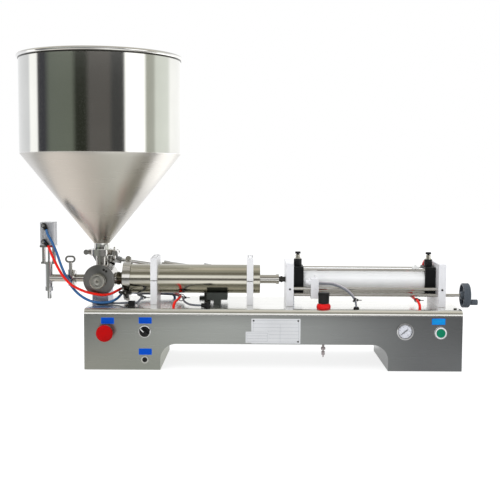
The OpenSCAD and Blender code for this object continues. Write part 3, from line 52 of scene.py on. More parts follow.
# Stations of the machine
VALVE_X, AXIS_Z, DECK_Z, FRONT_Y = -360.5, 205.0, 146.0, -125.0
NOZZLE_X = -493.0
RIM_Z = 747.0
TUBE_X0, TUBE_X1 = -295.0, 35.0
PLATE_X0 = 98.0
RAIL_Y, SCREW_Z = -55.0, 174.0
WHEEL_X, WHEEL_T = 528.0, 17.0
REG_X, REG_Y = 187.0, -98.0
STOP_X, STOP_Z, SELECT_X, PANEL_Z = -332.3, 91.0, -239.6, 93.0
START_X, GAUGE_X, GAUGE_Z, SOCKET_Z = 463.4, 378.9, 96.0, 25.0
CAP_X = (129.0, 455.0)
NAME_X, NAME_Z = 72.0, 95.0

# Directions
UP, RIGHT, FRONT, REAR = (0, 0, 1), (1, 0, 0), (0, -1, 0), (0, 1, 0)

# Camera, its turns in degrees
LENS_MM, FILM_MM = 65.15, 36
CAMERA_AT = (0.0094, -2.252, 0.4692)
CAMERA_DIP, CAMERA_ROLL = 4.86, 0.327
camera_data = bpy.data.cameras.new("camera")
camera_data.lens = LENS_MM
camera_data.sensor_width = FILM_MM
camera = bpy.data.objects.new("camera", camera_data)
bpy.context.scene.collection.objects.link(camera)
camera.matrix_world = (
    Matrix.Translation(CAMERA_AT)
    @ Matrix.Rotation(math.radians(90 - CAMERA_DIP), 4, "X")
    @ Matrix.Rotation(math.radians(CAMERA_ROLL), 4, "Z")
)
bpy.context.scene.camera = camera

# Meshes
BOX_FACES = [(0, 1, 3, 2), (4, 6, 7, 5), (0, 4, 5, 1), (2, 3, 7, 6), (0, 2, 6, 4), (1, 5, 7, 3)]
ON_AXIS = 1e-6
JOIN_REACH = 1e-6
SMOOTH_ANGLE = 32
BEVEL_SEGMENTS = 2
PATH_STEP = 3.0


class Shape:
    """Vertices and faces of one piece."""

    def __init__(self):
        self.verts, self.faces = [], []

    def add(self, verts, faces, move=None):
        base = len(self.verts)
        self.verts += [tuple(move @ Vector(v)) if move else tuple(v) for v in verts]
        self.faces += [[base + i for i in f] for f in faces]
        return self

    def lathe(self, profile, at, axis, sides, closed=False, wave=None):
        """Turns (radius, along) points round axis through at. wave(angle, i) scales a ring's radius."""
        axis = Vector(axis).normalized()
        side = axis.orthogonal().normalized()
        up = axis.cross(side)
        verts, rings = [], []
        for i, (r, t) in enumerate(profile):
            centre = Vector(at) + axis * t
            if r < ON_AXIS:
                verts.append(centre)
                rings.append([len(verts) - 1] * sides)
                continue
            ring = []
            for k in range(sides):
                a = 2 * math.pi * k / sides
                s = wave(a, i) if wave else 1.0
                verts.append(centre + (side * math.cos(a) + up * math.sin(a)) * r * s)
                ring.append(len(verts) - 1)
            rings.append(ring)
        faces = []
        count = len(rings) if closed else len(rings) - 1
        for i in range(count):
            a, b = rings[i], rings[(i + 1) % len(rings)]
            for k in range(sides):
                quad = [a[k], a[(k + 1) % sides], b[(k + 1) % sides], b[k]]
                face = [q for j, q in enumerate(quad) if q not in quad[:j]]
                if len(face) > 2:
                    faces.append(face)
        if not closed:
            for ring, (r, _) in ((rings[0], profile[0]), (rings[-1], profile[-1])):
                if r > ON_AXIS:
                    faces.append(list(ring))
        return self.add(verts, faces)

    def box(self, a, b, move=None):
        (x0, y0, z0), (x1, y1, z1) = a, b
        verts = [(x, y, z) for x in (x0, x1) for y in (y0, y1) for z in (z0, z1)]
        return self.add(verts, BOX_FACES, move)

    def prism(self, outline, frame_at, t):
        """Outline (u, v) in the plane of frame_at's first two axes, made t thick along its third."""
        n = len(outline)
        verts = [(u, v, 0) for u, v in outline] + [(u, v, t) for u, v in outline]
        faces = [list(range(n)), list(range(n, 2 * n))]
        faces += [[i, (i + 1) % n, n + (i + 1) % n, n + i] for i in range(n)]
        return self.add(verts, faces, frame_at)

    def tube(self, path, r, sides):
        """Round rod of radius r along path."""
        pts = [Vector(p) for p in path]
        last = len(pts) - 1
        side, verts, faces = None, [], []
        for i, p in enumerate(pts):
            d = (pts[min(i + 1, last)] - pts[max(i - 1, 0)]).normalized()
            side = d.orthogonal() if side is None else side - d * side.dot(d)
            side.normalize()
            up = d.cross(side)
            for k in range(sides):
                a = 2 * math.pi * k / sides
                verts.append(p + (side * math.cos(a) + up * math.sin(a)) * r)
        for i in range(last):
            for k in range(sides):
                a, b = i * sides + k, i * sides + (k + 1) % sides
                faces.append([a, b, b + sides, a + sides])
        faces += [list(range(sides)), list(range(last * sides, (last + 1) * sides))]
        return self.add(verts, faces)

    def torus(self, at, axis, big, small, sides, around):
        turns = [2 * math.pi * k / around for k in range(around)]
        ring = [(big + small * math.cos(a), small * math.sin(a)) for a in turns]
        return self.lathe(ring, at, axis, sides, closed=True)


def plane_frame(at, u, v):
    """Matrix whose first two axes are u and v, with its origin at at."""
    u, v = Vector(u).normalized(), Vector(v).normalized()
    w = u.cross(v)
    m = Matrix((u, v, w)).transposed().to_4x4()
    m.translation = Vector(at)
    return m


def front_frame(x, z, y=FRONT_Y):
    """Plane of the front panel at (x, z), its third axis towards the front."""
    return plane_frame((x, y, z), RIGHT, UP)


def arc(cx, cy, r, a0, a1, n):
    turns = [math.radians(a0 + (a1 - a0) * k / n) for k in range(n + 1)]
    return [(cx + r * math.cos(a), cy + r * math.sin(a)) for a in turns]


def round_rect(w, h, r):
    """Outline of a rectangle with round corners."""
    out = []
    for cx, cy, a0 in ((1, 1, 0), (-1, 1, 90), (-1, -1, 180), (1, -1, 270)):
        out += arc(cx * (w / 2 - r), cy * (h / 2 - r), r, a0, a0 + 90, 6)
    return out


def straight(a, b, n):
    """n points evenly spaced on the line from a to b, the last at b and none at a."""
    return [(a[0] + (b[0] - a[0]) * k / n, a[1] + (b[1] - a[1]) * k / n) for k in range(1, n + 1)]


def knurl(count, depth, rings):
    """Radius factor for straight knurling on the given rings of a profile."""
    return lambda a, i: 1 + (depth * (0.5 + 0.5 * math.cos(a * count)) if i in rings else 0)


def smooth_path(points):
    """Catmull-Rom line through points, its own points about a step apart."""
    p = [Vector(q) for q in points]
    p = [p[0] * 2 - p[1], *p, p[-1] * 2 - p[-2]]
    out = []
    for i in range(1, len(p) - 2):
        a, b, c, d = p[i - 1:i + 3]
        t = [0.0]
        for u, v in ((a, b), (b, c), (c, d)):
            t.append(t[-1] + (v - u).length ** 0.5)
        count = max(2, round((c - b).length / PATH_STEP))
        for k in range(count):
            s = t[1] + (t[2] - t[1]) * k / count
            a1 = a.lerp(b, (s - t[0]) / (t[1] - t[0]))
            a2 = b.lerp(c, (s - t[1]) / (t[2] - t[1]))
            a3 = c.lerp(d, (s - t[2]) / (t[3] - t[2]))
            b1 = a1.lerp(a2, (s - t[0]) / (t[2] - t[0]))
            b2 = a2.lerp(a3, (s - t[1]) / (t[3] - t[1]))
            out.append(b1.lerp(b2, (s - t[1]) / (t[2] - t[1])))
    out.append(p[-2])
    return out


def bevel_edges(obj, width, angle, clamp):
    """Rounds the edges that are steeper than angle."""
    b = obj.modifiers.new("edges", "BEVEL")
    b.width, b.segments, b.limit_method = width * MM, BEVEL_SEGMENTS, "ANGLE"
    b.angle_limit, b.use_clamp_overlap = math.radians(angle), clamp


def piece(name, shape, material, slot, body="machine", replaces=None, bevel=None, angle=SMOOTH_ANGLE):
    """Object from a shape: shaded smooth below angle, on its body, with its finish."""
    mesh = bpy.data.meshes.new(name)
    mesh.from_pydata([Vector(v) * MM for v in shape.verts], [], shape.faces)
    bm = bmesh.new()
    bm.from_mesh(mesh)
    bmesh.ops.remove_doubles(bm, verts=bm.verts, dist=JOIN_REACH)
    bmesh.ops.recalc_face_normals(bm, faces=bm.faces)
    bm.to_mesh(mesh)
    bm.free()
    for p in mesh.polygons:
        p.use_smooth = True
    mesh.set_sharp_from_angle(angle=math.radians(angle))
    obj = bpy.data.objects.new(name, mesh)
    bpy.context.scene.collection.objects.link(obj)
    mesh.materials.append(material)
    if bevel:
        bevel_edges(obj, bevel, angle, clamp=True)
    if body:
        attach(obj, body)
    if replaces:
        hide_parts(replaces)
    return obj


# Nodes that materials, floor and room share


def feed(tree, socket, value):
    """Links a socket to another node's output, or sets it to a number or a colour."""
    if isinstance(value, bpy.types.NodeSocket):
        tree.links.new(value, socket)
    else:
        socket.default_value = value


def math_node(tree, operation, *values, clamp=False):
    n = tree.nodes.new("ShaderNodeMath")
    n.operation, n.use_clamp = operation, clamp
    for socket, value in zip(n.inputs, values):
        feed(tree, socket, value)
    return n.outputs[0]


def map_range(tree, value, low, high, to_low=0, to_high=1):
    """Number from to_low to to_high, by where value is between low and high."""
    n = tree.nodes.new("ShaderNodeMapRange")
    n.inputs["From Min"].default_value, n.inputs["From Max"].default_value = low, high
    n.inputs["To Min"].default_value, n.inputs["To Max"].default_value = to_low, to_high
    feed(tree, n.inputs["Value"], value)
    return n.outputs["Result"]


def mix_colors(tree, share, a, b):
    """Colour a where share is 0, b where it is 1."""
    mix = tree.nodes.new("ShaderNodeMix")
    mix.data_type = "RGBA"
    feed(tree, mix.inputs["Factor"], share)
    feed(tree, mix.inputs["A"], a)
    feed(tree, mix.inputs["B"], b)
    return mix.outputs["Result"]


def split_place(tree, output):
    """X, Y and Z of a point in the named coordinates."""
    place = tree.nodes.new("ShaderNodeSeparateXYZ")
    feed(tree, place.inputs["Vector"], tree.nodes.new("ShaderNodeTexCoord").outputs[output])
    return place.outputs["X"], place.outputs["Y"], place.outputs["Z"]


# Materials
NOISE_LOW, NOISE_HIGH, NOISE_ROUGH = 0.3, 0.7, 0.55


def rgb(r, g, b):
    """Linear colour of 0 to 255 screen values."""
    return tuple(((c / 255) / 12.92 if c <= 10 else ((c / 255 + 0.055) / 1.055) ** 2.4) for c in (r, g, b))


class Nodes:
    """A material whose colour, roughness and height can follow a noise."""

    def __init__(self, name, color, metallic, rough, **sockets):
        self.mat = bpy.data.materials.new(name)
        self.mat.use_nodes = True
        self.tree = self.mat.node_tree
        self.bsdf = self.tree.nodes["Principled BSDF"]
        self.color = (*color, 1)
        self.rough = rough
        self.bsdf.inputs["Base Color"].default_value = self.color
        self.bsdf.inputs["Metallic"].default_value = metallic
        self.bsdf.inputs["Roughness"].default_value = rough
        for key, value in sockets.items():
            self.bsdf.inputs[key.replace("_", " ")].default_value = value
        self.coords = self.tree.nodes.new("ShaderNodeTexCoord").outputs["Object"]

    def feed(self, socket, value):
        feed(self.tree, self.bsdf.inputs[socket], value)

    def noise(self, scale, detail):
        """Noise whose features come scale times a metre along each axis."""
        m = self.tree.nodes.new("ShaderNodeMapping")
        m.inputs["Scale"].default_value = scale if hasattr(scale, "__len__") else (scale,) * 3
        feed(self.tree, m.inputs["Vector"], self.coords)
        n = self.tree.nodes.new("ShaderNodeTexNoise")
        n.inputs["Scale"].default_value = 1.0
        n.inputs["Detail"].default_value = detail
        n.inputs["Roughness"].default_value = NOISE_ROUGH
        feed(self.tree, n.inputs["Vector"], m.outputs["Vector"])
        return n.outputs["Fac"]

    def spread(self, noise, low, high):
        """Number from low to high, by a noise's usual values."""
        return map_range(self.tree, noise, NOISE_LOW, NOISE_HIGH, low, high)

    def vary_color(self, noise, dark, light):
        """Base colour between a darker and a lighter shade."""
        low = (*(c * dark for c in self.color[:3]), 1)
        high = (*(min(1, c * light) for c in self.color[:3]), 1)
        self.feed("Base Color", mix_colors(self.tree, self.spread(noise, 0, 1), low, high))

    def vary_rough(self, noise, amount):
        self.feed("Roughness", self.spread(noise, self.rough - amount, self.rough + amount))

    def bump(self, height, distance):
        """Height of the surface, distance in millimetres."""
        b = self.tree.nodes.new("ShaderNodeBump")
        b.inputs["Strength"].default_value = 1.0
        b.inputs["Distance"].default_value = distance * MM
        feed(self.tree, b.inputs["Height"], height)
        self.feed("Normal", b.outputs["Normal"])


def brushed(name, color, rough, along, lines, depth, blotch=6, dark=0.9, light=1.06):
    """Brushed metal, its fine lines along an axis."""
    m = Nodes(name, color, 1.0, rough)
    stretch = {"x": (5, lines, lines), "z": (lines, lines, 5), "none": (lines,) * 3}[along]
    m.vary_color(m.noise(blotch, 3.0), dark, light)
    m.vary_rough(m.noise(tuple(s * 0.4 for s in stretch), 3.0), rough * 0.28)
    m.bump(m.noise(stretch, 2.0), depth)
    return m.mat


def turned(name, color, rough, axis, lines, depth, blotch=7, spread=0.25):
    """Metal turned on a lathe: lines run round the axis, so they change only along it."""
    m = Nodes(name, color, 1.0, rough)
    scale = {"x": (lines, 4, 4), "z": (4, 4, lines)}[axis]
    m.vary_color(m.noise(blotch, 3.0), 0.92, 1.05)
    m.vary_rough(m.noise(tuple(s * 0.5 + 3 for s in scale), 2.0), rough * spread)
    m.bump(m.noise(scale, 2.0), depth)
    return m.mat


def faced(name, color, rough, amount):
    """Steel faced on a lathe about the Y axis: its shine fans out from the middle."""
    m = Nodes(name, color, 1.0, rough, Anisotropic=amount)
    tangent = m.tree.nodes.new("ShaderNodeTangent")
    tangent.direction_type, tangent.axis = "RADIAL", "Y"
    m.feed("Tangent", tangent.outputs["Tangent"])
    m.vary_color(m.noise(30, 2.0), 0.96, 1.02)
    m.vary_rough(m.noise(40, 2.0), rough * 0.05)
    return m.mat


def satin(name, color, rough, metallic, grain, depth, **k):
    """Anodised or cast finish with a fine even grain."""
    m = Nodes(name, color, metallic, rough, **k)
    m.vary_color(m.noise(14, 4.0), 0.94, 1.03)
    grainy = m.noise(grain, 2.0)
    m.vary_rough(grainy, rough * 0.2)
    m.bump(grainy, depth)
    return m.mat


def plastic(name, color, rough, grain=1100, depth=0.01, **k):
    """Moulded plastic with a light grain and faint handling marks."""
    m = Nodes(name, color, 0.0, rough, **k)
    m.vary_color(m.noise(30, 4.0), 0.88, 1.1)
    m.vary_rough(m.noise(60, 4.0), rough * 0.25)
    m.bump(m.noise(grain, 2.0), depth)
    return m.mat


def rubber(name, color, rough, **k):
    """Soft extruded tube with slight unevenness and a slight shine."""
    m = Nodes(name, color, 0.0, rough, **k)
    m.vary_color(m.noise(40, 3.0), 0.85, 1.12)
    m.vary_rough(m.noise(90, 3.0), 0.06)
    m.bump(m.noise(260, 3.0), 0.02)
    return m.mat


def clear_pane(name):
    """Thin clear pane: mostly see-through, with a shine."""
    m = Nodes(name, (0.95, 0.97, 1.0), 0.0, 0.05, Alpha=0.1)
    m.vary_rough(m.noise(40, 2.0), 0.02)
    m.vary_color(m.noise(25, 2.0), 0.97, 1.0)
    return m.mat


def panel_steel():
    """Brushed steel of the front panel, with painted shade: its colour is made darker towards its right
    end.
    """
    m = Nodes("panel_steel", (1, 1, 1), 1.0, 0.3)
    x = split_place(m.tree, "Object")[0]
    blotches = m.spread(m.noise(3, 3.0), -0.12, 0.12)
    # Painted shade, with random blotches: the colour runs from lighter at the left end to darker at the
    # right end.
    share = math_node(m.tree, "ADD", map_range(m.tree, x, -0.30, 0.50), blotches)
    m.feed("Base Color", mix_colors(m.tree, share, (*rgb(170, 173, 168), 1), (*rgb(138, 140, 141), 1)))
    m.vary_rough(m.noise((6, 6, 900), 2.0), 0.03)
    m.bump(m.noise((5, 900, 900), 2.0), 0.0012)
    return m.mat


PANEL_STEEL = panel_steel()
# Painted light: a much lighter copy of the chassis steel for the top of the deck.
LIT_DECK_STEEL = brushed("lit_deck_steel", rgb(238, 238, 234), 0.2, "x", 900, 0.002, 4, 0.96, 1.03)
DRUM_STEEL = turned("drum_steel", rgb(216, 216, 211), 0.1, "z", 420, 0.0003, 5, 0.04)
CONE_STEEL = turned("cone_steel", rgb(206, 203, 197), 0.28, "z", 420, 0.0003, 5, 0.03)
RIM_STEEL = brushed("rim_steel", rgb(232, 231, 228), 0.08, "none", 300, 0.0006)
LINING_STEEL = satin("lining_steel", rgb(200, 200, 196), 0.34, 0.6, 1200, 0.002)
TUBE_STEEL = turned("tube_steel", rgb(200, 197, 184), 0.15, "x", 420, 0.0004, 6, 0.08)
VALVE_STEEL = brushed("valve_steel", rgb(186, 184, 178), 0.13, "none", 260, 0.002)
KNOB_STEEL = faced("knob_steel", rgb(166, 165, 158), 0.28, 0.95)
COVER_STEEL = faced("cover_steel", rgb(140, 140, 138), 0.3, 0.9)
PIPE_STEEL = turned("pipe_steel", rgb(206, 204, 200), 0.12, "x", 420, 0.001)
CLAMP_STEEL = brushed("clamp_steel", rgb(214, 212, 208), 0.14, "none", 240, 0.004)
SADDLE_METAL = satin("saddle_metal", rgb(66, 70, 66), 0.5, 0.3, 1100, 0.01)
DARK_STEEL = brushed("dark_steel", rgb(70, 69, 66), 0.3, "none", 260, 0.006)
CHROME = brushed("chrome", rgb(214, 214, 214), 0.09, "none", 300, 0.001)
ROD_STEEL = turned("rod_steel", rgb(212, 210, 206), 0.12, "x", 900, 0.001)
POST_STEEL = brushed("post_steel", rgb(184, 186, 200), 0.34, "z", 420, 0.0006)
UNION_STEEL = turned("union_steel", rgb(104, 100, 84), 0.2, "x", 500, 0.004)
WHITE_METAL = satin("white_metal", rgb(240, 240, 242), 0.36, 0.1, 1400, 0.004)
BARREL_METAL = satin("barrel_metal", rgb(253, 254, 255), 0.2, 0.0, 1800, 0.001, Specular_IOR_Level=0.9)
PLATE_METAL = satin("plate_metal", rgb(238, 238, 241), 0.3, 0.1, 1400, 0.004)
BLOCK_METAL = satin("block_metal", rgb(196, 197, 200), 0.3, 0.45, 1400, 0.003)
BLACK_METAL = satin("black_metal", rgb(17, 18, 20), 0.4, 0.2, 1500, 0.004, Specular_IOR_Level=0.25)
BLACK_PLASTIC = plastic("black_plastic", rgb(15, 15, 17), 0.38, Specular_IOR_Level=0.35)
WHEEL_PLASTIC = plastic("wheel_plastic", rgb(76, 83, 91), 0.45, Specular_IOR_Level=0.35)
RED_PLASTIC = plastic("red_plastic", rgb(178, 0, 2), 0.45, Specular_IOR_Level=0.12)
RED_RING = plastic("red_ring", rgb(222, 14, 16), 0.32, Specular_IOR_Level=0.3)
GREEN_PLASTIC = plastic("green_plastic", rgb(0, 126, 92), 0.4, Specular_IOR_Level=0.2)
WHITE_PLASTIC = plastic("white_plastic", rgb(232, 232, 230), 0.35)
BLUE_LABEL = plastic("blue_label", rgb(0, 76, 192), 0.5, 900, 0.003, Specular_IOR_Level=0.1)
SKY_LABEL = plastic("sky_label", rgb(10, 138, 210), 0.5, 900, 0.003, Specular_IOR_Level=0.15)
LABEL_EDGE = plastic("label_edge", rgb(0, 104, 222), 0.5, 900, 0.003, Specular_IOR_Level=0.15)
NAME_PLATE = satin("name_plate", rgb(214, 215, 217), 0.34, 0.2, 900, 0.002)
NAME_LINES = plastic("name_lines", rgb(118, 124, 136), 0.5)
DRAIN_PLASTIC = plastic("drain_plastic", rgb(172, 160, 160), 0.35)
SEAL_RUBBER = plastic("seal_rubber", rgb(226, 224, 216), 0.55)
RED_HOSE = rubber("red_hose", rgb(232, 26, 8), 0.36, Specular_IOR_Level=0.3)
BLUE_HOSE = rubber("blue_hose", rgb(44, 100, 156), 0.3)
GREY_CABLE = rubber("grey_cable", rgb(104, 108, 116), 0.4)
SILVER_CABLE = rubber("silver_cable", rgb(176, 172, 178), 0.3)
NICKEL = brushed("nickel", rgb(212, 209, 198), 0.2, "none", 300, 0.003)
DIAL_WHITE = satin("dial_white", rgb(232, 233, 242), 0.5, 0.0, 800, 0.001)
DIAL_BLACK = plastic("dial_black", rgb(30, 32, 44), 0.5)
GAUGE_GLASS = clear_pane("gauge_glass_clear")

# Cords
HOSE_R, CABLE_R, STRAND_R = 3.2, 2.5, 1.8
CORD_ANGLE = 60
RED_ROUTE = [
    (-487, -34, 288), (-483, -37, 280), (-473, -43, 259), (-460, -49, 235), (-446, -56, 215),
    (-428, -61, 197), (-412, -64, 188), (-395, -67, 181), (-378, -68, 176), (-362, -67, 173),
    (-347, -64, 171), (-331, -57, 173), (-319, -44, 178), (-313, -22, 180), (-312, 8, 179),
    (-312, 36, 177), (-300, 56, 174), (-278, 62, 169), (-250, 60, 166), (-214, 60, 166),
    (-188, 48, 165), (-172, 22, 163), (-164, -4, 162), (-163, -28, 162), (-167, -60, 160),
    (-172, -92, 156), (-173, -103, 150), (-173, -103, 143),
]
BLUE_ROUTE = [
    (-491, -34, 328), (-488, -36, 318), (-479, -37, 302), (-470, -38, 283), (-462, -40, 263),
    (-454, -43, 241), (-444, -46, 219), (-432, -50, 197), (-418, -54, 180), (-402, -58, 167),
    (-385, -61, 158), (-367, -63, 153), (-347, -62, 152), (-330, -57, 154), (-318, -42, 159),
    (-312, -14, 165), (-310, 16, 167), (-301, 44, 164), (-276, 62, 160), (-240, 67, 158),
    (-208, 71, 157), (-190, 74, 155), (-185, 74, 149), (-185, 74, 143),
]
RED_PORT_ROUTE = [
    (417, -103, 143), (417, -102, 155), (414, -85, 165), (412, -66, 165.6), (412, -48, 165.6),
    (412, -28, 165.8), (413, -4, 166), (418, 20, 166.8), (425, 37, 169.5), (433, 50, 181), (441, 58, 199),
    (449, 62, 220), (454, 60, 238), (455, 50, 247), (455, 36, 249), (455, 20, 249),
]
BLUE_PORT_ROUTE = [
    (129, 20, 249), (129, 36, 249), (128, 50, 246), (126, 61, 236), (123, 69, 216), (121.5, 73, 190),
    (121, 74, 165), (121, 74, 143),
]
CABLE_ROUTE = [
    (-367, -42.3, 149), (-366, -46, 149), (-361, -49.5, 149), (-342, -50, 149), (-325, -49, 149),
    (-310, -56, 150), (-298, -65, 152), (-290, -67.5, 153), (-278, -67.5, 153), (-266, -67.3, 153),
    (-259, -57, 159), (-254, -45, 163), (-256, -24, 163), (-270, 2, 163), (-272, 32, 161), (-252, 55, 159),
    (-214, 57, 158), (-184, 46, 158), (-163, 20, 157), (-156, -4, 158), (-156, -26, 159),
    (-150, -56, 155), (-136, -82, 152), (-122, -95, 152), (-107.8, -99, 152),
]
SENSOR_ROUTE = [
    (178, -64, 203), (191.92, -67, 203), (211.93, -73, 202), (239.77, -81, 191), (256.3, -86, 177),
    (264.13, -92, 163), (265, -103, 147),
]
STRANDS = (("front", GREY_CABLE, -1, "sensor_cable"), ("back", SILVER_CABLE, 1, None))
STRAND_SHIFT = Vector((0.6, 1.6, 1.6))


def hose(name, route, r, material, slot, **facts):
    """A cord that runs from one seat on the machine to another."""
    line = smooth_path(route)
    obj = piece(name, Shape().tube(line, r, sides=18), material, slot, angle=CORD_ANGLE)
    return obj


red_hose = hose("red_hose", RED_ROUTE, HOSE_R, RED_HOSE, "air_hoses", lay="hanging")
hose("blue_hose", BLUE_ROUTE, HOSE_R, BLUE_HOSE, "air_hoses", lay="hanging")
hose("red_port_hose", RED_PORT_ROUTE, HOSE_R, RED_HOSE, "air_hoses")
hose("blue_port_hose", BLUE_PORT_ROUTE, HOSE_R, BLUE_HOSE, "air_hoses")
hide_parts("air_hoses")
grey_cable = hose("grey_cable", CABLE_ROUTE, CABLE_R, GREY_CABLE, "grey_cables", stiffness="limp")
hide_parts("grey_cables")

for where, look, side, replaced in STRANDS:
    line = [p + STRAND_SHIFT * side for p in smooth_path(SENSOR_ROUTE)]
    strand = piece(f"sensor_cable_{where}", Shape().tube(line, STRAND_R, sides=14), look, "sensor_cable",
                   body=None, replaces=replaced, angle=CORD_ANGLE)
    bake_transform(strand)

# CAD nodes that stay
PACKED_JOIN_M = 2e-6
DECK_LIT_TOP_Z = DECK_Z - 13.5
PACKED_BEVEL_ANGLE = 50
PACKED_BEVELS = {
    "end_plates": 0.9, "cylinder_brackets": 0.8, "nozzle_cylinder": 0.5, "cylinder_saddle": 0.6,
    "sensor_block": 0.4,
}
LOOKS = {
    "chassis": PANEL_STEEL, "rear_cover": PANEL_STEEL, "cap_screws": DARK_STEEL,
    "switch_housings": CHROME, "gauge_case": CHROME, "valve_body": VALVE_STEEL,
    "actuator_cylinder": CHROME, "actuator_bracket": SADDLE_METAL, "valve_post": POST_STEEL,
    "cylinder_saddle": SADDLE_METAL, "pipe_clamps": CLAMP_STEEL, "outlet_pipe": PIPE_STEEL,
    "nozzle_body": CHROME, "nozzle_yoke": CLAMP_STEEL, "nozzle_cylinder": BLOCK_METAL,
    "hose_fittings": BLACK_PLASTIC, "cylinder_inlet": UNION_STEEL, "gaskets": SEAL_RUBBER,
    "cylinder_brackets": WHITE_METAL, "air_caps": BLACK_METAL, "fixed_rods": ROD_STEEL,
    "end_plates": PLATE_METAL, "regulator_body": BLACK_METAL,
    "air_inlet": NICKEL, "stop_stem": DARK_STEEL, "selector_knob": BLACK_PLASTIC,
    "gauge_needle": DIAL_BLACK, "valve_rotor": VALVE_STEEL, "valve_lever": CHROME,
    "actuator_rod": CHROME, "hopper_wing_nut": CLAMP_STEEL, "outlet_ring_nut": CLAMP_STEEL,
    "cylinder_wing_nut": DARK_STEEL, "nozzle_rod": CHROME, "material_piston": VALVE_STEEL,
    "piston_seals": SEAL_RUBBER, "coupling_rod": PIPE_STEEL, "air_piston": DARK_STEEL,
    "sensor_block": PLATE_METAL, "start_button": GREEN_PLASTIC, "gauge_glass": GAUGE_GLASS,
}


def smoothing_group():
    """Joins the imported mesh's split vertices and shades it smooth below SMOOTH_ANGLE."""
    g = bpy.data.node_groups.new("smooth_packed_mesh", "GeometryNodeTree")
    for way in ("INPUT", "OUTPUT"):
        g.interface.new_socket("Geometry", in_out=way, socket_type="NodeSocketGeometry")
    nodes, link = g.nodes, g.links.new
    start, end = nodes.new("NodeGroupInput"), nodes.new("NodeGroupOutput")
    bare = nodes.new("GeometryNodeRemoveAttribute")
    bare.inputs["Name"].default_value = "custom_normal"
    merge = nodes.new("GeometryNodeMergeByDistance")
    merge.inputs["Distance"].default_value = PACKED_JOIN_M
    faces = nodes.new("GeometryNodeSetShadeSmooth")
    faces.domain = "FACE"
    faces.inputs["Shade Smooth"].default_value = True
    edges = nodes.new("GeometryNodeSetShadeSmooth")
    edges.domain = "EDGE"
    edges.inputs["Shade Smooth"].default_value = False
    angle = nodes.new("GeometryNodeInputMeshEdgeAngle")
    steep = nodes.new("FunctionNodeCompare")
    steep.data_type, steep.operation = "FLOAT", "GREATER_THAN"
    steep.inputs["B"].default_value = math.radians(SMOOTH_ANGLE)
    steps = [start, bare, merge, faces, edges, end]
    for a, b in zip(steps, steps[1:]):
        link(a.outputs["Geometry"], b.inputs["Geometry"])
    link(angle.outputs["Unsigned Angle"], steep.inputs["A"])
    link(steep.outputs["Result"], edges.inputs["Selection"])
    return g


smooth_packed = smoothing_group()
for name, look in LOOKS.items():
    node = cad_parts[name]
    for material_slot in node.material_slots:
        material_slot.material = look
    node.modifiers.new("smooth", "NODES").node_group = smooth_packed
chassis_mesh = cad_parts["chassis"].data
# Painted light: the chassis faces on top get the lighter copy of the steel, standing in for the bright
# reflection on the deck.
chassis_mesh.materials.append(LIT_DECK_STEEL)
for face in chassis_mesh.polygons:
    if face.center.z > DECK_LIT_TOP_Z * MM:
        face.material_index = len(chassis_mesh.materials) - 1
for name, width in PACKED_BEVELS.items():
    bevel_edges(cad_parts[name], width, PACKED_BEVEL_ANGLE, clamp=False)

# Hose elbows at the nozzle, and the switch on the air cylinder
ELBOW_X, ELBOW_Y, ELBOW_BOLT_Y = NOZZLE_X - 5, -35, -35.6
ELBOWS_Z = (298, 338)
elbow_bolt = [(0, 0), (3.4, 0), (3.4, 2.2), (2.8, 2.9), (1.6, 2.9), (1.4, 1.6), (0, 1.6)]
for z in ELBOWS_Z:
    bolt = Shape().lathe(elbow_bolt, (ELBOW_X, ELBOW_BOLT_Y, z), FRONT, sides=48)
    piece(f"elbow_bolt_{z}", bolt, CHROME, "hose_fittings")
    ring = Shape().torus((ELBOW_X, ELBOW_Y, z), REAR, big=4.8, small=1.2, sides=48, around=12)
    piece(f"elbow_ring_{z}", ring, BLACK_PLASTIC, "hose_fittings")
switch = Shape().box((411, -32, 235), (427, -22, 242))
switch.box((415, -30, 242), (421, -24, 245))
piece("barrel_switch", switch, WHITE_PLASTIC, "fixed_rods", bevel=0.8)

# Hopper
HOPPER_AT = (VALVE_X, 0, 0)
NECK_TOP = 295
NECK_CORNER, CONE_CORNER = (21.6, 296), (196.2, 513.8)
DRUM_R, DRUM_Z0, DRUM_Z1 = 197, 515.6, 743.5


def hopper_piece(name, profile, material, **k):
    shape = Shape().lathe(profile, HOPPER_AT, UP, sides=256, closed=True)
    return piece(name, shape, material, "hopper", **k)


def line_inside(obj, look):
    """Gives the faces that look at the hopper's axis their own finish."""
    obj.data.materials.append(look)
    for face in obj.data.polygons:
        out = face.center - Vector((VALVE_X * MM, 0, face.center.z))
        if face.normal.dot(out) < 0:
            face.material_index = 1


cone = [(18.5, 271), (25.25, 271), (25.25, 273.2), (24.6, 273.8), (21.6, 275.6), (20.4, 276.6),
        (20.02, 278), (20.02, 292), (20.4, 294), NECK_CORNER]
cone += straight(NECK_CORNER, CONE_CORNER, 24)
cone += [(196.8, 514.8), (197, 515.4), (195.5, 515.4), (18.5, 295.2)]
cone_piece = hopper_piece("hopper_cone", cone, CONE_STEEL, replaces="hopper", angle=20)
line_inside(cone_piece, LINING_STEEL)
cone_piece.data.materials.append(DRUM_STEEL)
for face in cone_piece.data.polygons:
    if face.center.z < NECK_TOP * MM and face.material_index == 0:
        face.material_index = 2
drum = [(DRUM_R, DRUM_Z0)] + straight((DRUM_R, DRUM_Z0), (DRUM_R, DRUM_Z1), 12)
drum += [(195.5, 744), (195.5, DRUM_Z0)]
line_inside(hopper_piece("hopper_drum", drum, DRUM_STEEL, angle=20), LINING_STEEL)
weld = [(197.02, 514.6), (197.5, 515.1), (197.55, 515.5), (197.5, 515.9), (197.02, 516.4)]
hopper_piece("hopper_weld", weld, RIM_STEEL)
# Painted shade: a dark ring under the rolled rim stands in for the shade and dark reflection beneath it.
shade_ring = [(197.02, 739.4), (197.9, 740), (197.9, 743), (197.02, 743.4)]
hopper_piece("hopper_shade_ring", shade_ring, DARK_STEEL)
hopper_piece("hopper_rim", arc(197.8, RIM_Z, 4.5, -150, 205, 26), RIM_STEEL, angle=50)

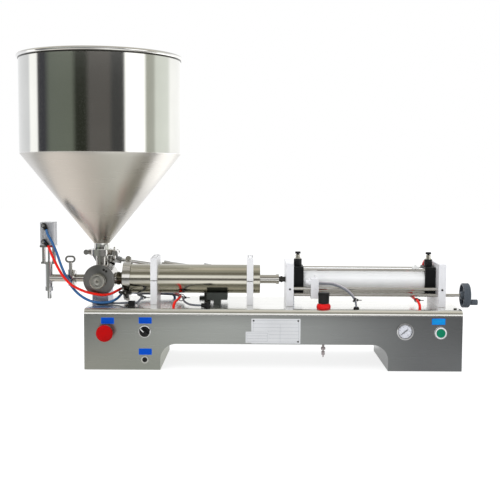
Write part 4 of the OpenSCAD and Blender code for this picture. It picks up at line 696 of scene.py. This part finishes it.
# Cylinders
CYLINDER_AT = (0, 0, AXIS_Z)
TUBE_R, BARREL_R = 36.0, 30
BARREL_X0, BARREL_X1 = 142.4, 441.6
tube = [(31.5, TUBE_X0), (38.0, TUBE_X0), (38.75, TUBE_X0 + 0.6), (38.75, TUBE_X0 + 2.8),
        (37.2, TUBE_X0 + 7), (TUBE_R, TUBE_X0 + 8)]
tube += straight((TUBE_R, TUBE_X0 + 8), (TUBE_R, TUBE_X0 + 320), 16)
tube += [(TUBE_R, TUBE_X1 - 0.8), (35.2, TUBE_X1), (32.2, TUBE_X1), (31.5, TUBE_X1 - 0.8)]
piece("material_tube", Shape().lathe(tube, CYLINDER_AT, RIGHT, sides=192, closed=True), TUBE_STEEL,
      "material_cylinder", replaces="material_cylinder", angle=25)
barrel = [(27.5, BARREL_X0 - 0.4), (29.6, BARREL_X0 - 0.4), (BARREL_R, BARREL_X0)]
barrel += straight((BARREL_R, BARREL_X0), (BARREL_R, BARREL_X1), 12)
barrel += [(29.6, BARREL_X1 + 0.4), (27.5, BARREL_X1 + 0.4)]
piece("barrel_tube", Shape().lathe(barrel, CYLINDER_AT, RIGHT, sides=160, closed=True), BARREL_METAL,
      "air_barrel", replaces="air_barrel", angle=25)

# Valve front
COVER_Y, VALVE_KNOB_Y = -45.0, -53
BOLT_CIRCLE_R = 29
disc = [(12, 0), (12, 5), (33.6, 5), (34.2, 4.6), (37.6, 4.6), (38.5, 3.8), (38.5, 0)]
piece("valve_cover_plate", Shape().lathe(disc, (VALVE_X, COVER_Y, AXIS_Z), FRONT, sides=160, closed=True),
      COVER_STEEL, "valve_cover", replaces="valve_cover", angle=25)
cover_bolt = [(1.3, 0.2), (1.3, 1.2), (2.5, 1.2), (2.9, 0.9), (2.9, -0.2), (0, -0.2)]
bolts = Shape()
for degrees in (25, 39):
    a = math.radians(degrees)
    at = (VALVE_X + BOLT_CIRCLE_R * math.sin(a), COVER_Y - 5, AXIS_Z + BOLT_CIRCLE_R * math.cos(a))
    bolts.lathe(cover_bolt, at, FRONT, sides=24)
piece("valve_cover_bolts", bolts, DARK_STEEL, "valve_cover")
hand_knob = [(3.2, 18), (3.2, 26), (4.2, 26.8), (15.6, 26.6), (16.8, 26.2), (18.2, 25.2), (18.5, 24.4),
             (18.5, 23.4), (18.1, 23), (18.1, 9.4), (18.5, 9), (18.5, 7.4), (15.5, 5), (15.5, 0), (6, 0),
             (6, 18)]
shape = Shape().lathe(hand_knob, (VALVE_X, VALVE_KNOB_Y, AXIS_Z), FRONT, sides=240, closed=True,
                      wave=knurl(60, -0.02, (8, 9)))
piece("valve_hand_knob", shape, KNOB_STEEL, "valve_knob", body="valve_rotor_set", replaces="valve_knob",
      angle=40)

# Switches on the front panel; each OUT is how far in front of the panel a shape starts
COLLAR_OUT, RING_OUT, STOP_OUT = 0.05, 0.1, 17
POINTER_Y, POINTER_OFF = -144.2, 4.6


def on_panel(profile, x, z, out, sides, closed=True):
    """Shape turned about a line square to the panel, its profile starting out in front of the panel."""
    return Shape().lathe(profile, (x, FRONT_Y - out, z), FRONT, sides, closed)


head = [(0, 0), (16.6, 0), (18.4, 0.9), (19.6, 2.6), (20, 4.6), (19.8, 6.6), (18.9, 8.6), (17, 10.2),
        (14, 11.2), (9, 11.8), (0, 12)]
piece("stop_button", on_panel(head, STOP_X, STOP_Z, STOP_OUT, 128, closed=False), RED_PLASTIC,
      "stop_head", body="stop_head", replaces="stop_head", angle=35)
collar = [(8.2, 0), (15, 0), (15, 1.5), (14.2, 2), (13.2, 9.4), (12.6, 10), (8.2, 10)]
piece("stop_collar", on_panel(collar, STOP_X, STOP_Z, COLLAR_OUT, 96), BLACK_PLASTIC, "switch_housings")
pointer_at = (SELECT_X - POINTER_OFF, POINTER_Y, PANEL_Z + POINTER_OFF)
pointer = Shape().prism(round_rect(10.5, 1.9, 0.9), plane_frame(pointer_at, (-1, 0, 1), (1, 0, 1)), 0.5)
piece("selector_mark", pointer, WHITE_PLASTIC, "selector_knob", body="selector")
socket = [(3.4, 0), (9, 0), (9, 1.6), (8.2, 2.6), (7.2, 2.9), (6.6, 2.2), (3.4, 2)]
piece("socket_ring", on_panel(socket, SELECT_X, SOCKET_Z, RING_OUT, 96), CHROME, "switch_housings")
socket_face = [(0, 0.4), (6.6, 0.4), (6.6, 2.5), (2.4, 2.5), (2.2, 1.2), (0, 1.2)]
piece("socket_face", on_panel(socket_face, SELECT_X, SOCKET_Z, RING_OUT, 96, closed=False), BLACK_PLASTIC,
      "switch_housings")
ring = [(10.4, 0), (14.75, 0), (14.75, 2.6), (13.8, 4.2), (12.6, 4.6), (12.2, 3.6), (10.4, 3.4)]
piece("selector_bezel", on_panel(ring, SELECT_X, PANEL_Z, RING_OUT, 96), CHROME, "switch_housings")
ring = [(10.4, 0), (14.75, 0), (14.75, 3.6), (13.6, 5.8), (12.2, 6.4), (10.9, 6.2), (10.4, 5)]
piece("start_bezel", on_panel(ring, START_X, PANEL_Z, RING_OUT, 96), WHITE_METAL, "switch_housings")

# Gauge; its dial has DIAL_STEPS steps of DIAL_STEP degrees, with a number at every tenth mark
DIAL_OUT = 1.2
DIAL_START, DIAL_STEP, DIAL_STEPS = 219, 5.4, 50
MARK_R, MARK_Y, MARK_T = 16, -126.72, 0.12
NUMBER_R, NUMBER_Y, NUMBER_SIZE, NUMBER_T = 10.6, -126.8, 3.4, 0.05


def dial_direction(k):
    a = math.radians(DIAL_START - k * DIAL_STEP)
    return math.cos(a), math.sin(a)


dial = [(1.8, 0), (17, 0), (17, 0.5), (1.8, 0.5)]
piece("gauge_dial", on_panel(dial, GAUGE_X, GAUGE_Z, DIAL_OUT, 96), DIAL_WHITE, "gauge_case")
shade = [(15.9, 0.5), (17, 0.5), (17, 3.2), (16.4, 3.2), (15.9, 1)]
piece("gauge_shade", on_panel(shade, GAUGE_X, GAUGE_Z, DIAL_OUT, 96), DIAL_BLACK, "gauge_case")
marks = Shape()
for k in range(DIAL_STEPS + 1):
    start, half = 14.8, 0.16
    if k % 10 == 0:
        start, half = 13.2, 0.35
    elif k % 5 == 0:
        start = 14.1
    c, s = dial_direction(k)
    outline = [(start, -half), (start, half), (MARK_R, half), (MARK_R, -half)]
    marks.prism(outline, plane_frame((GAUGE_X, MARK_Y, GAUGE_Z), (c, 0, s), (-s, 0, c)), MARK_T)
piece("gauge_marks", marks, DIAL_BLACK, "gauge_case")
bezel = [(16.6, 0), (20, 0), (20, 4.4), (19.2, 6), (17.9, 6.2), (17.2, 5.4), (16.6, 3)]
piece("gauge_bezel", on_panel(bezel, GAUGE_X, GAUGE_Z, RING_OUT, 128), CHROME, "gauge_case")
for k in range(0, DIAL_STEPS + 1, 10):
    text = str(k // 5)
    c, s = dial_direction(k)
    curve = bpy.data.curves.new(f"dial_number_{text}", "FONT")
    curve.body, curve.size, curve.extrude = text, NUMBER_SIZE * MM, NUMBER_T * MM
    curve.align_x, curve.align_y = "CENTER", "CENTER"
    number = bpy.data.objects.new(f"dial_number_{text}", curve)
    bpy.context.scene.collection.objects.link(number)
    place = Vector((GAUGE_X + NUMBER_R * c, NUMBER_Y, GAUGE_Z + NUMBER_R * s)) * MM
    number.matrix_world = Matrix.Translation(place) @ Matrix.Rotation(math.radians(90), 4, "X")
    curve.materials.append(DIAL_BLACK)
    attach(number, "machine")

# Labels
LABEL_W, START_LABEL_W, LABEL_H = 31, 32, 15
LABEL_BORDER = 1.6
LABELS_AT = ((-328, 118), (-238.6, 119), (-238.6, 44))
START_LABEL_AT = (458.4, 120)


def label(rims, faces, w, x, z):
    """Adds a plate's rim and, inside its border, its printed face."""
    rims.prism(round_rect(w, LABEL_H, 1), front_frame(x, z), 0.6)
    face = round_rect(w - LABEL_BORDER, LABEL_H - LABEL_BORDER, 0.6)
    faces.prism(face, front_frame(x, z, FRONT_Y - 0.55), 0.25)


label_rims, label_faces, start_face = Shape(), Shape(), Shape()
for x, z in LABELS_AT:
    label(label_rims, label_faces, LABEL_W, x, z)
label(label_rims, start_face, START_LABEL_W, *START_LABEL_AT)
piece("label_rims", label_rims, LABEL_EDGE, "label_plates", replaces="label_plates")
piece("label_faces", label_faces, BLUE_LABEL, "label_plates")
piece("start_label_face", start_face, SKY_LABEL, "label_plates", bevel=0.1)

# Name plate, with a second plate over its lower left corner, both ruled but blank
PLATE_T, RULE_W, RULE_T = 0.8, 0.3, 0.08
NAME_HALF_W, NAME_HALF_H = 54, 26
ROWS, ROW_H, SHORT_ROW_X, SHORT_ROWS_Z = 5, 8.6, 34, 96
COLUMN_X, COLUMN_TOP = NAME_X + 10, NAME_Z + 17
RIVETS = ((-53, 25), (53, 25), (53, -25))
SECOND_X, SECOND_Z, SECOND_HALF_W, SECOND_HALF_H = 27.5, 80.5, 24.5, 10
SECOND_ROWS, SECOND_ROW_H = 2, 6.6
NAME_FACE_Y = FRONT_Y - PLATE_T
SECOND_FACE_Y = NAME_FACE_Y - PLATE_T
name_plate = Shape().prism(round_rect(117, 60, 1.5), front_frame(NAME_X, NAME_Z), PLATE_T)
name_plate.prism(round_rect(55, 27, 1), front_frame(SECOND_X, SECOND_Z, NAME_FACE_Y), PLATE_T)
piece("name_plate", name_plate, NAME_PLATE, "label_plates", bevel=0.15)
ruling = Shape()


def rule(x0, x1, z0, z1, y):
    """A bar on a plate's face, which is at y."""
    ruling.box((x0, y - RULE_T, z0), (x1, y, z1))


def border(x0, x1, z0, z1, y):
    rule(x0, x1, z0, z0 + RULE_W, y)
    rule(x0, x1, z1 - RULE_W, z1, y)
    rule(x0, x0 + RULE_W, z0, z1, y)
    rule(x1 - RULE_W, x1, z0, z1, y)


x0, x1, z0, z1 = NAME_X - NAME_HALF_W, NAME_X + NAME_HALF_W, NAME_Z - NAME_HALF_H, NAME_Z + NAME_HALF_H
border(x0, x1, z0, z1, NAME_FACE_Y)
for k in range(1, ROWS + 1):
    z = z1 - k * ROW_H
    rule(x0 + (SHORT_ROW_X if z < SHORT_ROWS_Z else 0), x1, z, z + RULE_W, NAME_FACE_Y)
rule(COLUMN_X, COLUMN_X + RULE_W, z0, COLUMN_TOP, NAME_FACE_Y)
x0, x1 = SECOND_X - SECOND_HALF_W, SECOND_X + SECOND_HALF_W
z0, z1 = SECOND_Z - SECOND_HALF_H, SECOND_Z + SECOND_HALF_H
border(x0, x1, z0, z1, SECOND_FACE_Y)
for k in range(1, SECOND_ROWS + 1):
    z = z0 + k * SECOND_ROW_H
    rule(x0, x1, z, z + RULE_W, SECOND_FACE_Y)
piece("name_plate_lines", ruling, NAME_LINES, "label_plates")
rivet = [(0, 1.3), (1.2, 1.1), (2.0, 0.5), (2.2, 0), (0, 0)]
rivets = Shape()
for x, z in RIVETS:
    rivets.lathe(rivet, (NAME_X + x, NAME_FACE_Y, NAME_Z + z), FRONT, sides=24)
piece("name_plate_rivets", rivets, DARK_STEEL, "label_plates")

# Regulator
REG_AT = (REG_X, REG_Y, 0)
bowl = [(0, 28), (1.4, 28), (1.6, 33), (3.6, 33.4), (4, 34.4), (4, 42), (3.4, 43), (1.8, 43.2), (1.8, 46),
        (5, 46.2), (5.5, 46.8), (5.5, 51.4), (5, 52), (3, 52.2), (3, 62), (5.5, 63), (5.5, 68), (14, 70),
        (18, 77), (18, 112), (0, 112)]
piece("drain", Shape().lathe(bowl, REG_AT, UP, sides=64, wave=knurl(16, -0.08, (5, 6))), DRAIN_PLASTIC,
      "filter_bowl", replaces="filter_bowl", angle=35)
grip = [(0, 159.2), (12.6, 159.2), (13.0, 160), (13.0, 176.6), (13.8, 178), (13.8, 183), (13.2, 184.4),
        (11.6, 185), (0, 185)]
shape = Shape().lathe(grip, REG_AT, UP, sides=192, wave=knurl(24, -0.05, (2, 3, 4, 5)))
piece("regulator_grip", shape, BLACK_PLASTIC, "regulator_knob", body="regulator_knob",
      replaces="regulator_knob", angle=35)
ring = [(12, 0), (15.6, 0), (16.8, 1.2), (17.2, 3.2), (17.1, 6), (16.4, 8.6), (15, 10.8), (13.2, 12),
        (12, 12)]
shape = Shape().lathe(ring, (REG_X, REG_Y, DECK_Z), UP, sides=128, closed=True)
piece("regulator_collar", shape, RED_RING, "regulator_ring", replaces="regulator_ring", angle=40)

# Flow controllers
FLOW_Z = 240.0
PORT_Z = FLOW_Z + 9
flow_body = [(5, -7), (5, 0), (9.6, 0), (10, 0.5), (10, 16.2), (9.4, 17), (0, 17)]
flow_port = [(0, 0), (6, 0), (6, 18), (5.4, 20), (3.4, 20), (3.4, 15), (0, 15)]
flow_neck = [(3.1, 17), (6.6, 17), (6.6, 20.4), (5.4, 21), (5.4, 22), (6.1, 22.6), (6.1, 26), (5.6, 26.8),
             (4.6, 28), (3.1, 28)]
flow_grip = [(0, 8), (3, 8), (3, 29.4), (6.2, 29.5), (6.9, 30.2), (6.9, 33.6), (6.2, 34.8), (0, 35)]
for x, side in zip(CAP_X, ("left", "right")):
    at = (x, 0, FLOW_Z)
    shape = Shape().lathe(flow_body, at, UP, sides=64).lathe(flow_port, (x, 0, PORT_Z), REAR, sides=48)
    piece(f"flow_body_{side}", shape, BLACK_PLASTIC, "flow_controllers",
          replaces="flow_controllers" if side == "left" else None)
    shape = Shape().lathe(flow_neck, at, UP, sides=96, closed=True, wave=knurl(6, 0.07, (1, 2)))
    piece(f"flow_neck_{side}", shape, NICKEL, "flow_controllers", angle=30)
    shape = Shape().lathe(flow_grip, at, UP, sides=120, wave=knurl(30, -0.05, (4, 5)))
    piece(f"flow_grip_{side}", shape, BLACK_PLASTIC, f"flow_knob_{side}", body=f"flow_knob_{side}",
          replaces=f"flow_knob_{side}", angle=35)

# Screw and wheel
THREAD_X0, THREAD_PITCH, THREAD_TURNS = 117.0, 2.5, 140
CREST_R, ROOT_R, ROD_R = 4.45, 3.9, 4
ROD_X0, ROD_X1 = PLATE_X0 + 5, WHEEL_X + WHEEL_T - 5
WHEEL_AT = (WHEEL_X, RAIL_Y, SCREW_Z)
CRANK_AT = (WHEEL_X, -69.849, 159.151)
SPOKES, SPOKE_SHIFT = 5, 0.3
thread = [(0, ROD_X0), (ROD_R, ROD_X0), (ROD_R, THREAD_X0 - 0.4)]
for k in range(THREAD_TURNS):
    t = THREAD_X0 + k * THREAD_PITCH
    thread += [(CREST_R, t), (CREST_R, t + 0.9), (ROOT_R, t + 1.3), (ROOT_R, t + 2.1)]
t = THREAD_X0 + THREAD_TURNS * THREAD_PITCH
thread += [(CREST_R, t), (ROD_R, t + 0.2), (ROD_R, ROD_X1), (0, ROD_X1)]
piece("threaded_rod", Shape().lathe(thread, (0, RAIL_Y, SCREW_Z), RIGHT, sides=32), ROD_STEEL, "lead_screw",
      body="wheel", replaces="lead_screw", angle=50)
rim = [(25, 0), (29, 0), (29.8, 0.8), (30, 2), (30, 5.4), (29.5, 5.9), (29.5, 6.6), (30, 7.1), (30, 10.4),
       (29.5, 10.9), (29.5, 11.6), (30, 12.1), (30, 14.6), (29, 16.2), (27.4, 17), (25, 17)]
hub = [(4, -4), (8.6, -4), (9, -3.4), (9, 10), (26, 10.4), (26, 13.4), (9, 14), (9, 15), (0, 15), (0, 12),
       (4, 12)]
wheel = Shape().lathe(rim, WHEEL_AT, RIGHT, sides=120, closed=True)
wheel.lathe(hub, WHEEL_AT, RIGHT, sides=96, closed=True)
for k in range(SPOKES):
    a = 2 * math.pi * (k + SPOKE_SHIFT) / SPOKES
    wheel.box((8, 3, -1.6), (25.6, 11, 1.6), plane_frame(WHEEL_AT, (0, math.cos(a), math.sin(a)), RIGHT))
wheel.lathe([(0, 12), (3, 12), (3, 31), (0, 31)], CRANK_AT, RIGHT, sides=32)
piece("wheel_body", wheel, WHEEL_PLASTIC, "hand_wheel", body="wheel", replaces="hand_wheel", angle=35)
crank = [(3.05, 17.5), (6.2, 17.5), (6.6, 18), (7, 24), (7, 33.6), (6.4, 34.8), (5, 35), (0, 35),
         (0, 31.4), (3.05, 31.4)]
piece("crank_grip", Shape().lathe(crank, CRANK_AT, RIGHT, sides=64, closed=True), WHEEL_PLASTIC,
      "crank_knob", body="crank_knob", replaces="crank_knob", angle=35)

# Room and floor

# Tones round the machine by degrees, 0 in front and positive to its right
ROUND = [
    (-180, 1.1), (-140, (0.96, 0.97, 1.0)), (-108, (0.88, 0.89, 0.93)), (-104, 1.4), (-89, 1.4),
    (-86, (0.07, 0.07, 0.08)), (-74, (0.06, 0.06, 0.07)), (-64, (0.17, 0.19, 0.16)),
    (-31, (0.17, 0.19, 0.155)), (-24, (0.03, 0.033, 0.024)), (-12, (0.03, 0.033, 0.024)),
    (-5, (0.13, 0.122, 0.116)), (20, (0.125, 0.117, 0.11)), (26, 0.065), (41, 0.06), (44, 1.7), (72, 1.7),
    (76, (0.50, 0.51, 0.45)), (88, (0.54, 0.55, 0.50)), (93, (0.90, 0.93, 0.87)),
    (118, (0.94, 0.97, 0.92)), (126, 1.3), (180, 1.2),
]
# Tones over the machine by degrees, 0 in front and 90 overhead
OVER = [
    (-180, 0.6), (-10, 0.3), (7, 0.35), (11, 1.2), (30, 1.2), (36, (0.26, 0.25, 0.21)),
    (54, (0.22, 0.21, 0.18)), (62, (0.46, 0.45, 0.39)), (76, (0.44, 0.43, 0.37)),
    (82, (0.75, 0.70, 0.62)), (98, (0.75, 0.70, 0.62)), (106, (0.58, 0.58, 0.52)), (150, 0.7), (180, 1.15),
]
# Height of a direction where the tones over the machine take over
OVER_FROM = (0.15, 0.19)
# Metres from the machine where the floor's painted reflection tones end
FLOOR_ENDS = (1.25, 1.45)
# Painted reflections: tones the floor glows with for glossy rays only, by metres to the right
FLOOR_FRONT = [
    (-2, 0.4), (-0.6, 0.4), (-0.4, 0.44), (-0.25, 0.95), (-0.1, 1.4), (0.1, 1.3), (0.27, 1.05),
    (0.5, 0.4), (0.7, 0.25), (2, 0.25),
]
FLOOR_UNDER = [
    (-2, 0.5), (-1.1, 0.5), (-0.95, (1.0, 0.93, 0.87)), (-0.7, (0.98, 0.91, 0.85)),
    (-0.45, (0.68, 0.63, 0.57)), (-0.25, (0.62, 0.62, 0.56)), (-0.08, (0.80, 0.81, 0.75)),
    (0.15, 0.9), (0.4, 0.5), (2, 0.4),
]
FLOOR_BEHIND = [
    (-2, 0.5), (-1.1, 0.5), (-0.95, (1.0, 0.93, 0.87)), (-0.7, (0.98, 0.91, 0.85)), (-0.3, 0.9),
    (0.08, 1.0), (0.2, 1.9), (2, 1.9),
]
# Metres to the rear where one row of tones gives way to the next
UNDER_FROM, BEHIND_FROM = (-0.46, -0.34), (0.14, 0.24)
FLOOR_GREY, FLOOR_GLOW, FLOOR_HALF = 0.86, 1.34, 9
GLOW_SHARE, TONES_SHARE = 0.6, 0.85
FILL_COLOR, FILL_STRENGTH = (0.97, 0.985, 1.0, 1), 0.86
LAMP_AIM = Vector((0, 0, 0.25))


def ramp(tree, value, stops):
    """Colour by value; each stop is a value and a grey or a colour, from the lowest value up."""
    low, high = stops[0][0], stops[-1][0]
    n = tree.nodes.new("ShaderNodeValToRGB")
    e = n.color_ramp.elements
    e.remove(e[-1])
    e[0].position = 0
    for i, (at, c) in enumerate(stops):
        stop = e[0] if i == 0 else e.new((at - low) / (high - low))
        stop.color = (c, c, c, 1) if isinstance(c, float) else (*c, 1)
    feed(tree, n.inputs["Fac"], map_range(tree, value, low, high))
    return n.outputs["Color"]


def blend_colors(tree, value, change, a, b):
    """Colour a where value is below the change's first number, b where it is above its second."""
    return mix_colors(tree, map_range(tree, value, *change), a, b)


def direction(tree, away, ahead):
    """Degrees from straight ahead, turning towards away."""
    return math_node(tree, "DEGREES", math_node(tree, "ARCTAN2", away, ahead))


def seen_share(tree, rays, share=1.0):
    """Share for the rays named, so that the eye, metal and glass see one background."""
    path = tree.nodes.new("ShaderNodeLightPath")
    total = path.outputs[rays[0]]
    for ray in rays[1:]:
        total = math_node(tree, "ADD", total, path.outputs[ray], clamp=True)
    return math_node(tree, "MULTIPLY", total, share)


def mix_shaders(tree, share, a, b):
    n = tree.nodes.new("ShaderNodeMixShader")
    feed(tree, n.inputs["Fac"], share)
    feed(tree, n.inputs[1], a.outputs[0])
    feed(tree, n.inputs[2], b.outputs[0])
    return n


def floor_material():
    """White floor that keeps the machine's shadow; to glossy rays it also glows with faint tones, painted
    reflections in the machine's metal.
    """
    m = bpy.data.materials.new("floor")
    m.use_nodes = True
    tree = m.node_tree
    tree.nodes.clear()
    matt = tree.nodes.new("ShaderNodeBsdfDiffuse")
    matt.inputs["Color"].default_value = (FLOOR_GREY, FLOOR_GREY, FLOOR_GREY, 1)
    glow = tree.nodes.new("ShaderNodeEmission")
    glow.inputs["Strength"].default_value = FLOOR_GLOW
    x, y, _ = split_place(tree, "Object")
    near = blend_colors(tree, y, UNDER_FROM, ramp(tree, x, FLOOR_FRONT), ramp(tree, x, FLOOR_UNDER))
    near = blend_colors(tree, y, BEHIND_FROM, near, ramp(tree, x, FLOOR_BEHIND))
    azimuth = direction(tree, x, math_node(tree, "MULTIPLY", y, -1))
    squares = [math_node(tree, "MULTIPLY", v, v) for v in (x, y)]
    reach = math_node(tree, "SQRT", math_node(tree, "ADD", *squares))
    around = ramp(tree, azimuth, ROUND)
    # Painted reflection: a glow that only glossy rays see, in tones set place by place round the machine.
    tones = tree.nodes.new("ShaderNodeEmission")
    feed(tree, tones.inputs["Color"], blend_colors(tree, reach, FLOOR_ENDS, near, around))
    seen = seen_share(tree, ("Is Camera Ray", "Is Glossy Ray", "Is Transmission Ray"), GLOW_SHARE)
    shown = mix_shaders(tree, seen, matt, glow)
    shown = mix_shaders(tree, seen_share(tree, ("Is Glossy Ray",), TONES_SHARE), shown, tones)
    feed(tree, tree.nodes.new("ShaderNodeOutputMaterial").inputs["Surface"], shown.outputs[0])
    return m


def studio():
    """White to the eye; metal sees a room with a window, soft boxes and dark gaps between them."""
    world = bpy.data.worlds.new("studio")
    bpy.context.scene.world = world
    world.use_nodes = True
    tree = world.node_tree
    tree.nodes.clear()
    x, y, z = split_place(tree, "Generated")
    ahead = math_node(tree, "MULTIPLY", y, -1)
    low = ramp(tree, direction(tree, x, ahead), ROUND)
    high = ramp(tree, direction(tree, z, ahead), OVER)
    shown, metal, fill = (tree.nodes.new("ShaderNodeBackground") for _ in range(3))
    shown.inputs["Color"].default_value = (1, 1, 1, 1)
    feed(tree, metal.inputs["Color"], blend_colors(tree, z, OVER_FROM, low, high))
    fill.inputs["Color"].default_value = FILL_COLOR
    fill.inputs["Strength"].default_value = FILL_STRENGTH
    mixed = mix_shaders(tree, seen_share(tree, ("Is Glossy Ray",)), fill, metal)
    mixed = mix_shaders(tree, seen_share(tree, ("Is Camera Ray", "Is Transmission Ray")), mixed, shown)
    feed(tree, tree.nodes.new("ShaderNodeOutputWorld").inputs["Surface"], mixed.outputs[0])


def lamp(name, at, size, power):
    data = bpy.data.lights.new(name, "AREA")
    data.shape, data.size, data.size_y, data.energy = "RECTANGLE", size[0], size[1], power
    obj = bpy.data.objects.new(name, data)
    bpy.context.scene.collection.objects.link(obj)
    obj.location = at
    obj.rotation_euler = (LAMP_AIM - Vector(at)).to_track_quat("-Z", "Y").to_euler()
    obj.visible_glossy = False


floor_mesh = bpy.data.meshes.new("floor")
corners = [(FLOOR_HALF * x, FLOOR_HALF * y, 0) for x, y in ((-1, -1), (1, -1), (1, 1), (-1, 1))]
floor_mesh.from_pydata(corners, [], [(0, 1, 2, 3)])
floor_mesh.materials.append(floor_material())
floor = bpy.data.objects.new("floor", floor_mesh)
bpy.context.scene.collection.objects.link(floor)
studio()
lamp("key", at=(-1.6, -2.4, 2.6), size=(1.6, 1.6), power=36)
lamp("top", at=(0.3, 0.4, 2.8), size=(2.2, 1.4), power=22)

bpy.context.scene.view_settings.view_transform = "Standard"
